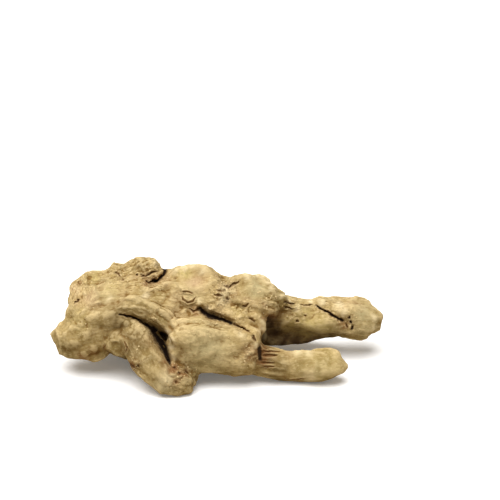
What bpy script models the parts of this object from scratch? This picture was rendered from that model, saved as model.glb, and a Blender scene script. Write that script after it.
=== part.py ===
"""A dried ginger root: one knobbly, wrinkled rhizome lying on a table.

Blender works in metres with +Z up. The sizes below are in millimetres. X runs along the root,
-Y is its front, and the root stands on its low points at Z = 0.
"""

import math
from collections import namedtuple

import bmesh
import bpy
import numpy as np
from mathutils import Euler

MM = 0.001

# Finish of the skin.
SKIN_COLOUR = (0.55, 0.42, 0.24, 1.0)
SKIN_ROUGHNESS = 0.85
SKIN_METALLIC = 0.0

# A lobe of the root. Its line is the middle of the lobe as (x, y, z, radius). Its roughness scales the
# relief on it, a squareness over 2 makes it boxy and a bluntness under 1 shortens its round ends.
Lobe = namedtuple("Lobe", "name line roughness squareness bluntness", defaults=(1.0, 2.0, 1.0))

LOWER_FINGER = [
    (8, 11.5, 8.8, 5), (15, 10.8, 7.4, 5), (24, 10.2, 5.9, 5.5), (30.4, 10, 5.9, 5.4), (35.4, 9.8, 6.3, 5.1),
    (38.2, 9.6, 6.9, 4.4),
]

LOBES = [
    Lobe("rootstock", [(-37, 27, 17, 12), (-20, 28, 18.5, 13), (-4, 27, 18.5, 12), (4, 24.5, 18, 9.8)]),
    Lobe("belly", [(-31, 23, 11.5, 8), (-16, 22, 10.5, 8), (2, 22, 10.5, 7.5)], 0.8),
    Lobe("shoulder", [
        (-44, 20, 19.5, 7.4), (-44, 26, 22.4, 6.6), (-44.2, 32.4, 24, 4.8), (-36, 32, 24.2, 7.4),
    ], 1, 2.6),
    Lobe("left_stub", [
        (-28, 20, 18, 7), (-37, 18, 16.5, 7.2), (-44, 17.5, 14.8, 8.2), (-48.6, 16.5, 13, 6.6),
    ], 0.8),
    Lobe("fold_roll", [
        (-45, 16, 20.5, 4.5), (-38, 15.5, 23, 4.6), (-31, 15, 24.6, 4.6), (-24, 14.5, 23.8, 4.2),
        (-17.5, 14, 21.2, 3.6),
    ], 0.5),
    Lobe("leg", [
        (-30, 18, 15, 6.5), (-26, 9.5, 15, 6.3), (-22.4, 4.8, 10.4, 6.6), (-17.4, 2.2, 6.8, 5.3),
        (-13.2, 1.2, 4.5, 4.5),
    ], 0.6),
    Lobe("leg_pad", [(-17, 4, 5, 3.4), (-10.5, 4.4, 4.6, 3.6)]),
    Lobe("ear", [(-33, 13, 15, 4.4), (-34, 9.4, 14, 4.3)], 0.4, 2, 0.5),
    Lobe("block", [
        (-14.4, 12.5, 14.4, 7.6), (-9.5, 12, 14.4, 8.8), (-4, 11.5, 13.8, 9.2), (4, 11.5, 12.2, 8.6),
        (11.4, 11.5, 10.6, 7.2),
    ], 0.6, 2.6, 0.3),
    Lobe("upper_lobe", [
        (3, 25, 22, 7), (8, 24.5, 23.8, 8), (12.6, 24, 23.7, 8.2), (14.6, 24, 22.8, 6.8),
    ], 0.7, 2.3),
    Lobe("web", [(4, 19, 19, 6), (11.8, 17.5, 20.5, 3.4), (12.8, 17, 14, 2.6)], 0.5),
    Lobe("middle_hump", [(-12, 28, 23.4, 7), (-8, 28, 25, 9.4), (-2.5, 28, 23, 7.4)], 0.8),
    Lobe("rough_bump", [(-32, 32, 27, 4), (-27, 33, 30, 3.6), (-22.6, 33, 31.6, 3.5)], 1.1),
    Lobe("upper_finger", [
        (15, 27, 17.4, 6.2), (22, 27.5, 16.4, 5.8), (29, 28, 15.8, 5.3), (36, 29, 15.2, 5.8),
        (43, 29.5, 14.2, 7.1), (48.6, 30, 13.4, 6.7), (50.6, 30.5, 12.8, 5.4),
    ], 0.6, 2, 0.85),
    Lobe("finger_keel", [
        (11, 29.5, 11, 6.5), (20, 31.5, 9.4, 6), (28, 32, 8.8, 5), (36, 31.6, 9, 4), (42, 31, 10.6, 3),
    ], 0.5),
    Lobe("lower_finger", LOWER_FINGER, 0.2),
    Lobe("back_left_stub", [(-22, 30, 14, 9), (-26, 36, 9, 7.2), (-27, 38.5, 6.2, 6.4)], 0.8, 2, 0.8),
    Lobe("back_right_stub", [(2, 30, 14, 8.5), (7, 35, 8.6, 7), (9, 36.5, 6.1, 6.4)], 0.8, 2, 0.8),
]

# The face that shows leans back from upright, in degrees. A place on it is (across, up the lean).
FACE_LEAN = 27
FACE_TURN_IN = 2

# Crevices on the face, as (across, up, half their width there), and how deep each is cut.
LEFT_CREVICE = [
    (-33.4, 27.4, 0.4), (-29, 26.8, 0.5), (-25.4, 25.2, 0.7), (-22.4, 22.9, 1.3),
    (-19.8, 20.2, 2), (-18.6, 17, 1.8), (-17, 13.5, 1), (-15.4, 10, 0.7),
]
RIGHT_CREVICE = [
    (-6.5, 29.5, 0.6), (-4.2, 28.2, 0.7), (-2, 26.9, 0.8), (1.2, 25.9, 0.8),
    (4.2, 24.5, 0.8), (8.5, 22.4, 0.7), (11.4, 20.4, 0.6),
]
FINGER_CRACK = [(32.2, 30.2, 0.8), (36.5, 28, 1), (41, 25.6, 1.1), (44.5, 23.5, 1.3)]
TOP_NOTCH = [(-17.6, 43.5, 1.4), (-17.8, 41, 1.3), (-19.5, 38.6, 1.1), (-23.5, 38, 0.9)]
STUB_GROOVE = [(-52, 27, 1), (-45, 24.6, 1.4), (-40, 24.3, 1.4), (-36, 22, 1.1)]
LOBE_CREASE = [(0.8, 40.5, 1.1), (2.2, 38, 1.3), (3.6, 35, 1.2), (3.8, 31.5, 1.2), (7, 29.6, 1), (14, 28.4, 0.9)]
CREVICES = [
    (LEFT_CREVICE, 6.5), (RIGHT_CREVICE, 3.8), (FINGER_CRACK, 2.2),
    (TOP_NOTCH, 2.8), (STUB_GROOVE, 1.0), (LOBE_CREASE, 2.4),
]
CREVICE_END_DEPTH = 0.3
CREVICE_END_STEEPNESS = 5

# Rolled folds over the leg, as parallel ridges upward from the first one.
FOLD_LINE = [
    (-46, 24.6), (-41, 28), (-35.4, 29.8), (-30, 30.2),
    (-25.4, 28.8), (-21, 26), (-17.4, 22.4), (-15.4, 18.9),
]
FOLD_SPACING = 2.8
FOLD_COUNT = 2
FOLD_HEIGHT = 1.0
FOLD_EDGE_STEEPNESS = 3
FOLD_END_STEEPNESS = 8

# Ring scar on the ear: its middle on the face, how far it reaches, and its rings.
EAR_MIDDLE = (-33.6, 16.4)
EAR_REACH = 6
EAR_BACK = 13
RING_SPACING = 2.8
RING_HEIGHT = 0.8

# Ribbed neck of the lower finger: where it starts and ends, how it fades, and its ribs.
NECK_START = 12.5
NECK_END = 24
NECK_FADE_IN = 1.5
NECK_FADE_OUT = 4
NECK_REACH = 7
NECK_RIBS = 13
NECK_RIB_HEIGHT = 0.6

# Scraped flats: a place on them (x, y, z), the way they face and how far they reach.
FLATS = [
    ((12, 20.5, 28.2), (0.15, -0.5, 0.85), 9),
    ((-39, 20.5, 28.4), (-0.15, -0.5, 0.85), 10),
    ((-10, 22, 30.2), (0.05, -0.55, 0.84), 9),
    ((-1, 3.2, 15.5), (0.0, -0.95, 0.3), 10),
]
FLAT_EDGE = 3.0

# Relief of the skin, above and below the lobes: soft lumps, sharp crests, rolled wrinkles that run
# along each lobe, and pits.
LUMP_SIZE = 9.0
LUMP_HEIGHT = 1.1
CREST_SIZE = 7.5
CREST_HEIGHT = 1.3
CREST_SHARPNESS = 2.5
WRINKLE_WIDTH = 3.4
WRINKLE_LENGTH = 13.0
WRINKLE_HEIGHT = 1.2
WRINKLE_SINK = 0.6
PIT_SIZE = 3.2
PIT_DEPTH = 0.5
PIT_STEEPNESS = 3
PIT_RARITY = 0.8
LOBE_BLEND = 1.5
LEAST_SHARE = 0.00001
NOISE_CELLS = 32
NOISE_TURN = (0.6, 0.4, 0.9)

# The low points are pressed flat this deep, and the relief fades out below this height.
SINK = 0.7
FLAT_FADE = 2.5
LEAST_RELIEF = 0.15

# Fineness of the build.
VOXEL = 0.5
FUSE_SMOOTH_STEPS = 8
SKIN_SMOOTH_STEPS = 1
SECTION_POINTS = 24
PATH_STEPS = 6
TIP_ANGLES = (20, 40, 58, 74, 86)
WELD = 0.00001
TRIANGLES = 11400


def clear_scene():
    """Removes whatever the scene starts with."""
    for thing in list(bpy.data.objects):
        bpy.data.objects.remove(thing, do_unlink=True)


def smooth_line(stations):
    """Stations along a smooth curve through the given ones, radius included."""
    given = np.array(stations, float)
    ends = np.vstack((2 * given[0] - given[1], given, 2 * given[-1] - given[-2]))
    found = []
    for before, start, end, after in zip(ends, ends[1:], ends[2:], ends[3:]):
        for step in range(PATH_STEPS):
            t = step / PATH_STEPS
            found.append(
                0.5 * (2 * start + (end - before) * t
                       + (2 * before - 5 * start + 4 * end - after) * t**2
                       + (3 * start - before - 3 * end + after) * t**3)
            )
    found.append(given[-1])
    return np.array(found)


def rounded_tip(last, outward, bluntness):
    """The stations that close a lobe roundly past its last one."""
    direction = outward[:3] / np.linalg.norm(outward[:3])
    tip = []
    for degrees in TIP_ANGLES:
        angle = math.radians(degrees)
        place = last[:3] + direction * last[3] * math.sin(angle) * bluntness
        tip.append((*place, last[3] * math.cos(angle)))
    return np.array(tip)


def lobe_stations(lobe):
    """All the stations of a lobe, from one rounded tip to the other."""
    along = smooth_line(lobe.line)
    start = rounded_tip(along[0], along[0] - along[1], lobe.bluntness)
    end = rounded_tip(along[-1], along[-1] - along[-2], lobe.bluntness)
    return np.vstack((start[::-1], along, end))


def link(name, data):
    """A new object in the root's collection."""
    thing = bpy.data.objects.new(name, data)
    bpy.data.collections["ginger_root"].objects.link(thing)
    return thing


def section_outline(name, squareness):
    """The cross-section of a lobe of radius 1: a circle at squareness 2, boxier above it."""
    outline = bpy.data.curves.new(name, "CURVE")
    outline.dimensions = "2D"
    spline = outline.splines.new("POLY")
    spline.points.add(SECTION_POINTS - 1)
    for index, point in enumerate(spline.points):
        angle = 2 * math.pi * index / SECTION_POINTS
        x = math.copysign(abs(math.cos(angle)) ** (2 / squareness), math.cos(angle))
        y = math.copysign(abs(math.sin(angle)) ** (2 / squareness), math.sin(angle))
        point.co = (x, y, 0, 1)
    spline.use_cyclic_u = True
    return link(name, outline)


def lobe_mesh(lobe):
    """One lobe as a closed mesh: its cross-section swept along its middle line."""
    section = section_outline(lobe.name + "_section", lobe.squareness)
    sweep = bpy.data.curves.new(lobe.name, "CURVE")
    sweep.dimensions = "3D"
    sweep.twist_mode = "Z_UP"
    sweep.bevel_mode = "OBJECT"
    sweep.bevel_object = section
    sweep.use_fill_caps = True
    stations = lobe_stations(lobe)
    spline = sweep.splines.new("POLY")
    spline.points.add(len(stations) - 1)
    for point, (x, y, z, radius) in zip(spline.points, stations):
        point.co = (x * MM, y * MM, z * MM, 1)
        point.radius = radius * MM
    swept = link(lobe.name, sweep)
    mesh = evaluated_mesh(swept)
    bpy.data.objects.remove(swept)
    bpy.data.objects.remove(section)
    weld_caps(mesh)
    return mesh


def evaluated_mesh(thing):
    """What an object's modifiers or curve settings make of it, as a mesh."""
    bpy.context.view_layer.update()
    return bpy.data.meshes.new_from_object(thing.evaluated_get(bpy.context.evaluated_depsgraph_get()))


def weld_caps(mesh):
    """Joins the end caps of a swept mesh to its side and turns its faces outward."""
    weld = bmesh.new()
    weld.from_mesh(mesh)
    bmesh.ops.remove_doubles(weld, verts=weld.verts, dist=WELD)
    bmesh.ops.recalc_face_normals(weld, faces=weld.faces)
    weld.to_mesh(mesh)
    weld.free()


def grown_together():
    """All the lobes, grown together into one skin."""
    together = bmesh.new()
    for lobe in LOBES:
        together.from_mesh(lobe_mesh(lobe))
    mesh = bpy.data.meshes.new("rhizome")
    together.to_mesh(mesh)
    together.free()
    root = link("rhizome", mesh)
    wrap_in_one_skin(root, FUSE_SMOOTH_STEPS)
    return root


def wrap_in_one_skin(root, smooth_steps):
    """Wraps what is there in one even closed skin and softens it."""
    remesh = root.modifiers.new("skin", "REMESH")
    remesh.mode = "VOXEL"
    remesh.voxel_size = VOXEL * MM
    smooth = root.modifiers.new("soften", "SMOOTH")
    smooth.factor = 0.5
    smooth.iterations = smooth_steps
    apply_modifiers(root)


def thin_out(root):
    """Brings the skin down to the wanted number of triangles."""
    now = sum(len(face.vertices) - 2 for face in root.data.polygons)
    fewer = root.modifiers.new("fewer", "DECIMATE")
    fewer.ratio = TRIANGLES / now
    fewer.use_collapse_triangulate = True
    apply_modifiers(root)


def apply_modifiers(root):
    """Replaces the root's mesh by what its modifiers make of it."""
    mesh = evaluated_mesh(root)
    root.modifiers.clear()
    root.data = mesh


def read_vertices(root, what):
    """Each vertex's "co" or "normal" as a row."""
    flat = np.empty(len(root.data.vertices) * 3)
    root.data.vertices.foreach_get(what, flat)
    return flat.reshape(-1, 3)


def read_points(root):
    """The vertices of the root in millimetres."""
    return read_vertices(root, "co") / MM


def write_points(root, points):
    """Moves the vertices of the root to places in millimetres."""
    root.data.vertices.foreach_set("co", (points * MM).ravel())
    root.data.update()


def lattice_noise(places, seed):
    """A smooth random height between -1 and 1 at each place, with bumps about one unit apart."""
    lattice = np.random.default_rng(seed).uniform(-1, 1, (NOISE_CELLS,) * 3)
    places = places @ np.array(Euler(NOISE_TURN).to_matrix())
    cell = np.floor(places).astype(int)
    part = places - cell
    part = part * part * (3 - 2 * part)
    height = np.zeros(len(places))
    for corner in np.ndindex(2, 2, 2):
        weight = np.where(corner, part, 1 - part).prod(axis=1)
        height += weight * lattice[tuple(((cell + corner) % NOISE_CELLS).T)]
    return height


def nearest_on_line(places, line):
    """How far each place is from a line on the face, which side it is on, and how far along."""
    line = np.array(line, float)[:, :2]
    best = np.full(len(places), np.inf)
    side = np.ones(len(places))
    along = np.zeros(len(places))
    for index, (start, end) in enumerate(zip(line, line[1:])):
        run = end - start
        share = np.clip((places - start) @ run / (run @ run), 0, 1)
        gap = places - start - share[:, None] * run
        distance = np.linalg.norm(gap, axis=1)
        nearer = distance < best
        best[nearer] = distance[nearer]
        cross = run[0] * gap[:, 1] - run[1] * gap[:, 0]
        side[nearer] = np.sign(cross[nearer])
        along[nearer] = (index + share[nearer]) / (len(line) - 1)
    return best, side, along


def on_face(points):
    """Each point's place on the leaning face: across, and up the lean."""
    lean = math.radians(FACE_LEAN)
    up = points[:, 1] * math.sin(lean) + points[:, 2] * math.cos(lean)
    return np.column_stack((points[:, 0], up))


def face_direction():
    """The way the leaning face looks."""
    lean = math.radians(FACE_LEAN)
    return np.array((0, -math.cos(lean), math.sin(lean)))


def facing(normals):
    """From 0 where the skin turns away from the way the face looks to 1 where it looks the same way."""
    return np.clip(normals @ face_direction() * FACE_TURN_IN, 0, 1)


def carve(points, normals, line, depth):
    """Sinks a crevice into the face along a line, shallow at its two ends."""
    distance, _, along = nearest_on_line(on_face(points), line)
    half_width = np.interp(along, np.linspace(0, 1, len(line)), [place[2] for place in line])
    to_end = np.minimum(along, 1 - along)
    ends = np.clip(to_end * CREVICE_END_STEEPNESS + CREVICE_END_DEPTH, 0, 1)
    drop = depth * ends * np.exp(-((distance / half_width) ** 2)) * facing(normals)
    return points - face_direction() * drop[:, None]


def raise_folds(points, normals):
    """Raises the parallel rolled folds over the leg."""
    distance, side, along = nearest_on_line(on_face(points), FOLD_LINE)
    upward = distance * side
    ridge = np.cos(2 * math.pi * upward / FOLD_SPACING)
    middle = FOLD_SPACING * (FOLD_COUNT - 1) / 2
    reach = FOLD_SPACING * FOLD_COUNT / 2
    inside = np.clip((reach - np.abs(upward - middle)) / FOLD_SPACING * FOLD_EDGE_STEEPNESS, 0, 1)
    ends = np.clip(np.minimum(along, 1 - along) * FOLD_END_STEEPNESS, 0, 1)
    height = FOLD_HEIGHT * ridge * inside * ends * facing(normals)
    return points + normals * height[:, None]


def raise_ear_rings(points, normals):
    """Raises the rings of the round scar."""
    distance = np.linalg.norm(on_face(points) - EAR_MIDDLE, axis=1)
    near = np.clip((EAR_REACH - distance) / RING_SPACING, 0, 1) * (points[:, 1] < EAR_BACK)
    height = RING_HEIGHT * np.cos(2 * math.pi * distance / RING_SPACING) * near * facing(normals)
    return points + normals * height[:, None]


def raise_neck_ribs(points, normals):
    """Raises the ribs along the neck of the lower finger."""
    stations = np.array(LOWER_FINGER)
    x = points[:, 0]
    from_middle_y = points[:, 1] - np.interp(x, stations[:, 0], stations[:, 1])
    from_middle_z = points[:, 2] - np.interp(x, stations[:, 0], stations[:, 2])
    angle = np.arctan2(from_middle_z, from_middle_y)
    starting = np.clip((x - NECK_START) / NECK_FADE_IN, 0, 1)
    ending = np.clip((NECK_END - x) / NECK_FADE_OUT, 0, 1)
    near = np.hypot(from_middle_y, from_middle_z) < NECK_REACH
    height = NECK_RIB_HEIGHT * np.cos(NECK_RIBS * angle) * starting * ending * near
    return points + normals * height[:, None]


def scrape(points, place, way, reach):
    """Takes the skin down to a flat where a lobe was scraped."""
    way = np.array(way) / np.linalg.norm(way)
    above = np.maximum((points - place) @ way, 0)
    near = np.clip((reach - np.linalg.norm(points - place, axis=1)) / FLAT_EDGE, 0, 1)
    return points - way * (above * near)[:, None]


def grain_of(points, lobe):
    """How far each point is outside a lobe, and its place along the lobe and across it."""
    line = smooth_line(lobe.line)
    outside = np.full(len(points), np.inf)
    grain = np.zeros((len(points), 3))
    travelled = 0.0
    for start, end in zip(line, line[1:]):
        run = end[:3] - start[:3]
        length = np.linalg.norm(run)
        run /= length
        level = np.cross(run, (0, 0, 1))
        level /= np.linalg.norm(level)
        offset = points - start[:3]
        share = np.clip(offset @ run / length, 0, 1)
        across = offset - (share * length)[:, None] * run
        distance = np.linalg.norm(across, axis=1) - start[3] - share * (end[3] - start[3])
        nearer = distance < outside
        outside[nearer] = distance[nearer]
        grain[nearer, 0] = travelled + share[nearer] * length
        grain[nearer, 1] = across[nearer] @ level
        grain[nearer, 2] = across[nearer] @ np.cross(level, run)
        travelled += length
    return np.maximum(outside, 0), grain


def wrinkle(points, normals):
    """Raises lumps and crests all over, wrinkles along each lobe and shallow pits."""
    outsides, grains = zip(*(grain_of(points, lobe) for lobe in LOBES))
    shares = np.exp(-((np.array(outsides) / LOBE_BLEND) ** 2)) + LEAST_SHARE
    shares /= shares.sum(axis=0)
    lumps = lattice_noise(points / LUMP_SIZE + 7, 1)
    crests = 1 - np.abs(lattice_noise(points / CREST_SIZE + 3, 4)) * CREST_SHARPNESS
    pits = lattice_noise(points / PIT_SIZE, 3) * PIT_STEEPNESS - PIT_RARITY
    height = LUMP_HEIGHT * lumps + CREST_HEIGHT * np.maximum(crests, 0) ** 2
    height *= sum(share * lobe.roughness for share, lobe in zip(shares, LOBES))
    for index, (share, grain) in enumerate(zip(shares, grains)):
        stretched = grain / (WRINKLE_LENGTH, WRINKLE_WIDTH, WRINKLE_WIDTH)
        rolls = 2 * np.abs(lattice_noise(stretched + 5 * index, 2)) - WRINKLE_SINK
        height += share * WRINKLE_HEIGHT * rolls
    height -= PIT_DEPTH * np.clip(pits, 0, 1)
    height *= np.clip(points[:, 2] / FLAT_FADE, LEAST_RELIEF, 1)
    return points + normals * height[:, None]


def add_relief(root):
    """Gives the root its flats, wrinkles, folds, rings, ribs and crevices."""
    points = read_points(root)
    for place, way, reach in FLATS:
        points = scrape(points, place, way, reach)
    write_points(root, points)
    for step in (wrinkle, raise_folds, raise_ear_rings, raise_neck_ribs):
        points = step(points, read_vertices(root, "normal"))
        write_points(root, points)
    for line, depth in CREVICES:
        points = carve(points, read_vertices(root, "normal"), line, depth)
        write_points(root, points)


def stand(root):
    """Presses the low points flat at Z = 0 and centres the root over the origin."""
    points = read_points(root)
    middle = (points.min(0) + points.max(0)) / 2
    points -= (middle[0], middle[1], points[:, 2].min() + SINK)
    points[:, 2] = np.maximum(points[:, 2], 0)
    write_points(root, points)


def skin_material():
    """The dry, matte, tan skin."""
    skin = bpy.data.materials.new("dried_skin")
    skin.use_nodes = True
    shader = skin.node_tree.nodes["Principled BSDF"]
    shader.inputs["Base Color"].default_value = SKIN_COLOUR
    shader.inputs["Roughness"].default_value = SKIN_ROUGHNESS
    shader.inputs["Metallic"].default_value = SKIN_METALLIC
    return skin


def main():
    clear_scene()
    bpy.context.scene.collection.children.link(bpy.data.collections.new("ginger_root"))
    root = grown_together()
    add_relief(root)
    wrap_in_one_skin(root, SKIN_SMOOTH_STEPS)
    thin_out(root)
    stand(root)
    root.data.materials.clear()
    root.data.materials.append(skin_material())
    root.data.shade_smooth()


main()
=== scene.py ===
"""Looks of a dried ginger root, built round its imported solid.

Sizes are in millimetres, and become metres where they go into Blender. Places on the root are given
in the drawing's frame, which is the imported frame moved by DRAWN_AT.
"""

import math
from collections import namedtuple

import bmesh
import bpy
import numpy as np
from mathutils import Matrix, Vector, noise


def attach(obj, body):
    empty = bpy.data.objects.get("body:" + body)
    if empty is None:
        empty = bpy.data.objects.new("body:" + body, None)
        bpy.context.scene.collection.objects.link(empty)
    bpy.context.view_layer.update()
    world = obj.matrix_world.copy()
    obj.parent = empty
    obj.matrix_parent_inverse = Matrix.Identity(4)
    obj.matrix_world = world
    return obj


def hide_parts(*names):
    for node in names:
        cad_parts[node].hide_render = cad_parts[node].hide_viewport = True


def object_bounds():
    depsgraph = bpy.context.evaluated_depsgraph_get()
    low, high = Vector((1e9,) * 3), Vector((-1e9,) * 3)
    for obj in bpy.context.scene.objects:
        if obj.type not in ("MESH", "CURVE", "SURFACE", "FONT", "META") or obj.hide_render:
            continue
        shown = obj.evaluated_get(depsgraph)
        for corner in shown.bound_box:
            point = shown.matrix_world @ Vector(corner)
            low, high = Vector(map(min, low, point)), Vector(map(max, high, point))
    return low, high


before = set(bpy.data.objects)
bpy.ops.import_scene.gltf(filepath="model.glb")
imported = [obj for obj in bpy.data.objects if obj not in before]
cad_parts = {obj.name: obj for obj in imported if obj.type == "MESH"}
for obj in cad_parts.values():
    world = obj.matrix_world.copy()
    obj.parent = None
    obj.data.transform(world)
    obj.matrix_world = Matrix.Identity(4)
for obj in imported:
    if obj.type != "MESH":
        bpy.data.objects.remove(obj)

MM = 0.001
CAD_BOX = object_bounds()

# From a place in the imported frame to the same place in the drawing.
DRAWN_AT = np.array((-0.6, 19.94, 0.87))

# The face that shows leans back from upright by this many degrees.
FACE_LEAN = 27

# What is drawn on a face fades where the skin turns away from it, later with a larger first number. Skin
# that looks the face's way by less than the second number isn't counted as on it.
FACE_TURN_IN = 2.5
LEAST_TURN = 0.1

# The camera: how much of the face its frame shows, where the middle of the frame is on the face, how far
# in front of the face the aimed place lies, how far off the camera stands, and between which distances
# it sees.
FRAME_WIDTH = 166
FRAME_MIDDLE = (10.46, 48.8)
AIM_DEPTH = 10
CAMERA_DISTANCE = 2000
CAMERA_CLIP = (100, 10000)
SENSOR_WIDTH = 36

# Light and floor. The floor throws less light back at the root than it shows.
FLOOR_SIZE = 3000
FLOOR_COLOUR = (0.96, 0.96, 0.96, 1)
FLOOR_GLOW = 0.13
BOUNCE_COLOUR = (0.5, 0.45, 0.36, 1)
SKY_COLOUR = (1, 0.96, 0.88, 1)
SKY_STRENGTH = 0.34
KEY_STRENGTH = 4.6
KEY_SPREAD = math.radians(65)
KEY_TURN = (math.radians(8), math.radians(-11), 0)

# Lobes of the root: the middle line of each as (x, y, z, radius), and how rough its skin is. The grain of
# the skin runs along them.
Lobe = namedtuple("Lobe", "name line roughness", defaults=(1.0,))
LOBES = [
    Lobe("rootstock", [(-37, 27, 17, 12), (-20, 28, 18.5, 13), (-4, 27, 18.5, 12), (4, 24.5, 18, 9.8)]),
    Lobe("belly", [(-31, 23, 11.5, 8), (-16, 22, 10.5, 8), (2, 22, 10.5, 7.5)]),
    Lobe("shoulder", [
        (-44, 20, 19.5, 7.4), (-44, 26, 22.4, 6.6), (-44.2, 32.4, 24, 4.8), (-36, 32, 24.2, 7.4),
    ]),
    Lobe("left_stub", [
        (-28, 20, 18, 7), (-37, 18, 16.5, 7.2), (-44, 17.5, 14.8, 8.2), (-48.6, 16.5, 13, 6.6),
    ], 0.7),
    Lobe("fold_roll", [
        (-45, 16, 20.5, 4.5), (-38, 15.5, 23, 4.6), (-31, 15, 24.6, 4.6), (-24, 14.5, 23.8, 4.2),
        (-17.5, 14, 21.2, 3.6),
    ], 0.7),
    Lobe("leg", [
        (-30, 18, 15, 6.5), (-26, 9.5, 15, 6.3), (-22.4, 4.8, 10.4, 6.6), (-17.4, 2.2, 6.8, 5.3),
        (-13.8, 1.4, 4.8, 4.3),
    ], 0.8),
    Lobe("leg_pad", [(-17, 4, 5, 3.4), (-10.5, 4.4, 4.6, 3.6)], 1.2),
    Lobe("ear", [(-33, 13, 15, 4.4), (-34, 9.4, 14, 4.3)], 0.6),
    Lobe("block", [
        (-14.4, 12.5, 14.4, 7.6), (-4, 11.5, 13.8, 9.2), (4, 11.5, 12.2, 8.6), (11.4, 11.5, 10.6, 7.2),
    ], 0.7),
    Lobe("upper_lobe", [(3, 25, 22, 7), (8, 24.5, 23.8, 8), (14.6, 24, 22.8, 6.8)]),
    Lobe("web", [(4, 19, 19, 6), (11.8, 17.5, 20.5, 3.4), (12.8, 17, 14, 2.6)], 0.4),
    Lobe("middle_hump", [(-12, 28, 23.4, 7), (-8, 28, 25, 9.4), (-2.5, 28, 23, 7.4)], 0.7),
    Lobe("rough_bump", [(-32, 32, 27, 4), (-27, 33, 30, 3.6), (-22.6, 33, 31.6, 3.5)], 1.4),
    Lobe("upper_finger", [
        (15, 27, 17.4, 6.2), (29, 28, 15.8, 5.3), (43, 29.5, 14.2, 7.1), (50.6, 30.5, 12.8, 5.4),
    ], 0.7),
    Lobe("finger_keel", [
        (11, 29.5, 11, 6.5), (20, 31.5, 9.4, 6), (28, 32, 8.8, 5), (42, 31, 10.6, 3),
    ], 0.6),
    Lobe("lower_finger", [
        (8, 11.5, 8.8, 5), (15, 10.8, 7.4, 5), (24, 10.2, 5.9, 5.5), (35.4, 9.8, 6.3, 5.1),
        (38.2, 9.6, 6.9, 4.4),
    ], 0.5),
    Lobe("back_left_stub", [(-22, 30, 14, 9), (-26, 36, 9, 7.2), (-27, 38.5, 6.2, 6.4)]),
    Lobe("back_right_stub", [(2, 30, 14, 8.5), (7, 35, 8.6, 7), (9, 36.5, 6.1, 6.4)]),
]

# Where two lobes meet, their grains blend over this distance. Each lobe's grain starts a step farther on,
# so that no two lobes have the same pattern.
LOBE_BLEND = 1.6
GRAIN_STEP = 40

# Fineness of the skin: how close two corners are to count as one, the size of its faces, and how it is
# smoothed to lose its steps. Close to a crack it is finer: within so many half widths of the crack's line
# and a reach beyond them.
WELD = 0.001
VOXEL = 0.5
SMOOTHING_SHARE = 0.5
SMOOTHING_STEPS = 5
FINE_WIDTHS = 2
FINE_REACH = 0.7

# Relief of the skin: for each kind of wrinkle its width, its length along the grain and its height. The
# grain wanders over a size by a reach, and near the table the relief fades.
Relief = namedtuple("Relief", "width length height")
WRINKLES = {
    "Roll": Relief(3.6, 10, 0.2),
    "Cord": Relief(1.8, 5, 0.22),
    "Thread": Relief(1.0, 2.6, 0.15),
}
WANDER_SIZE = 6.0
WANDER_REACH = 2.2
FOOT_FADE = 2.5

# The rolls that wrinkles are made of: their noise, how far apart two kinds are read in it, what brings
# their height to about 1, and how much of it lies below the skin.
ROLL_NOISE = {"Scale": 1.0, "Detail": 1.0, "Roughness": 0.4, "Distortion": 0.3}
ROLL_SEED_STEP = 3.7
ROLL_GAIN = 2.5
ROLL_SINK = 0.5

# Places drift at random, so that nothing drawn on the skin has an even edge: how far, over what size, and
# where the drift is read. A cut is moved by a coarse and a fine drift, and the fine one also widens and
# narrows it.
DRIFT_SEED = 11
Drift = namedtuple("Drift", "reach size start", defaults=(0.0,))
COARSE_DRIFT = Drift(0.5, 2.4)
FINE_DRIFT = Drift(0.3, 0.9)
FINE_WIDENING = 0.6
RIDGE_DRIFT = Drift(0.6, 2.5)
KNOB_DRIFT = Drift(0.7, 1.6)
PATCH_DRIFT = Drift(1.2, 2.6, 7)

# How many times the skin is softened to find the crests that stand above it, and the larger swells. Light is
# painted on the crests and shade in the hollows.
CREST_STEPS = 6
SWELL_STEPS = 60

# Painted shade: the skin starts to be browner and darker where its normal's upward part falls below this, on
# skin that faces down.
UNDER_SHADE_START = 0.35

# The dark of a cut is shade painted into the crack. A cut this deep is quite dark at its bottom, and one no
# deeper than this is only stained.
FULL_DARK_DEPTH = 1.3
STAIN_DEPTH = 0.4

# How dark the shade painted into a cut is at its line, though never more than 1, how much that falls with
# each half width from the line, and how soon it leaves skin that turns away.
DARK_START = 1.7
DARK_FALL = 1.3
DARK_TURN_IN = 3

# A cut moves only skin that lies less than this far behind the foremost skin on its line, and fades
# before that.
CUT_REACH = 9
CUT_REACH_FADE = 3

# In half widths of a cut: what counts as on its line, where its lips are highest, how wide its stain is,
# and between what its ragged width stays.
ON_LINE = 1.5
LIP_PLACE = 2.2
STAIN_WIDTH = 2
RAGGED_WIDTHS = (0.6, 1.4)

# Small round scars where rootlets were, away from the front: how many, their size, how high the rim stands
# and how deep the pit is, how wide both are as shares of the scar's radius, and how low the scars come.
SCAR_COUNT = 46
SCAR_RADIUS = (0.7, 1.5)
SCAR_RIM = 0.22
SCAR_PIT = 0.44
SCAR_RIM_WIDTH = 0.3
SCAR_PIT_WIDTH = 0.7
SCAR_SEED = 8
SCAR_LOWEST = 3

# Flakes of loose skin: how many on a square centimetre of the roughest skin, their least and greatest
# size, how thick they are for their width, how narrow some are and how far they tilt. A square metre has
# so many square centimetres.
FLAKE_SIZES = {"Density": 42, "Smallest": 0.35, "Largest": 0.95, "Thickness": 0.35}
PER_SQUARE_METRE = 10000
FLAKE_NARROWEST = 0.5
FLAKE_TILT = 0.3
FLAKE_SEED = 5

# No flake lies where the shade painted into a crack is darker than this.
FLAKE_FREE_DARKNESS = 0.05

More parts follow.
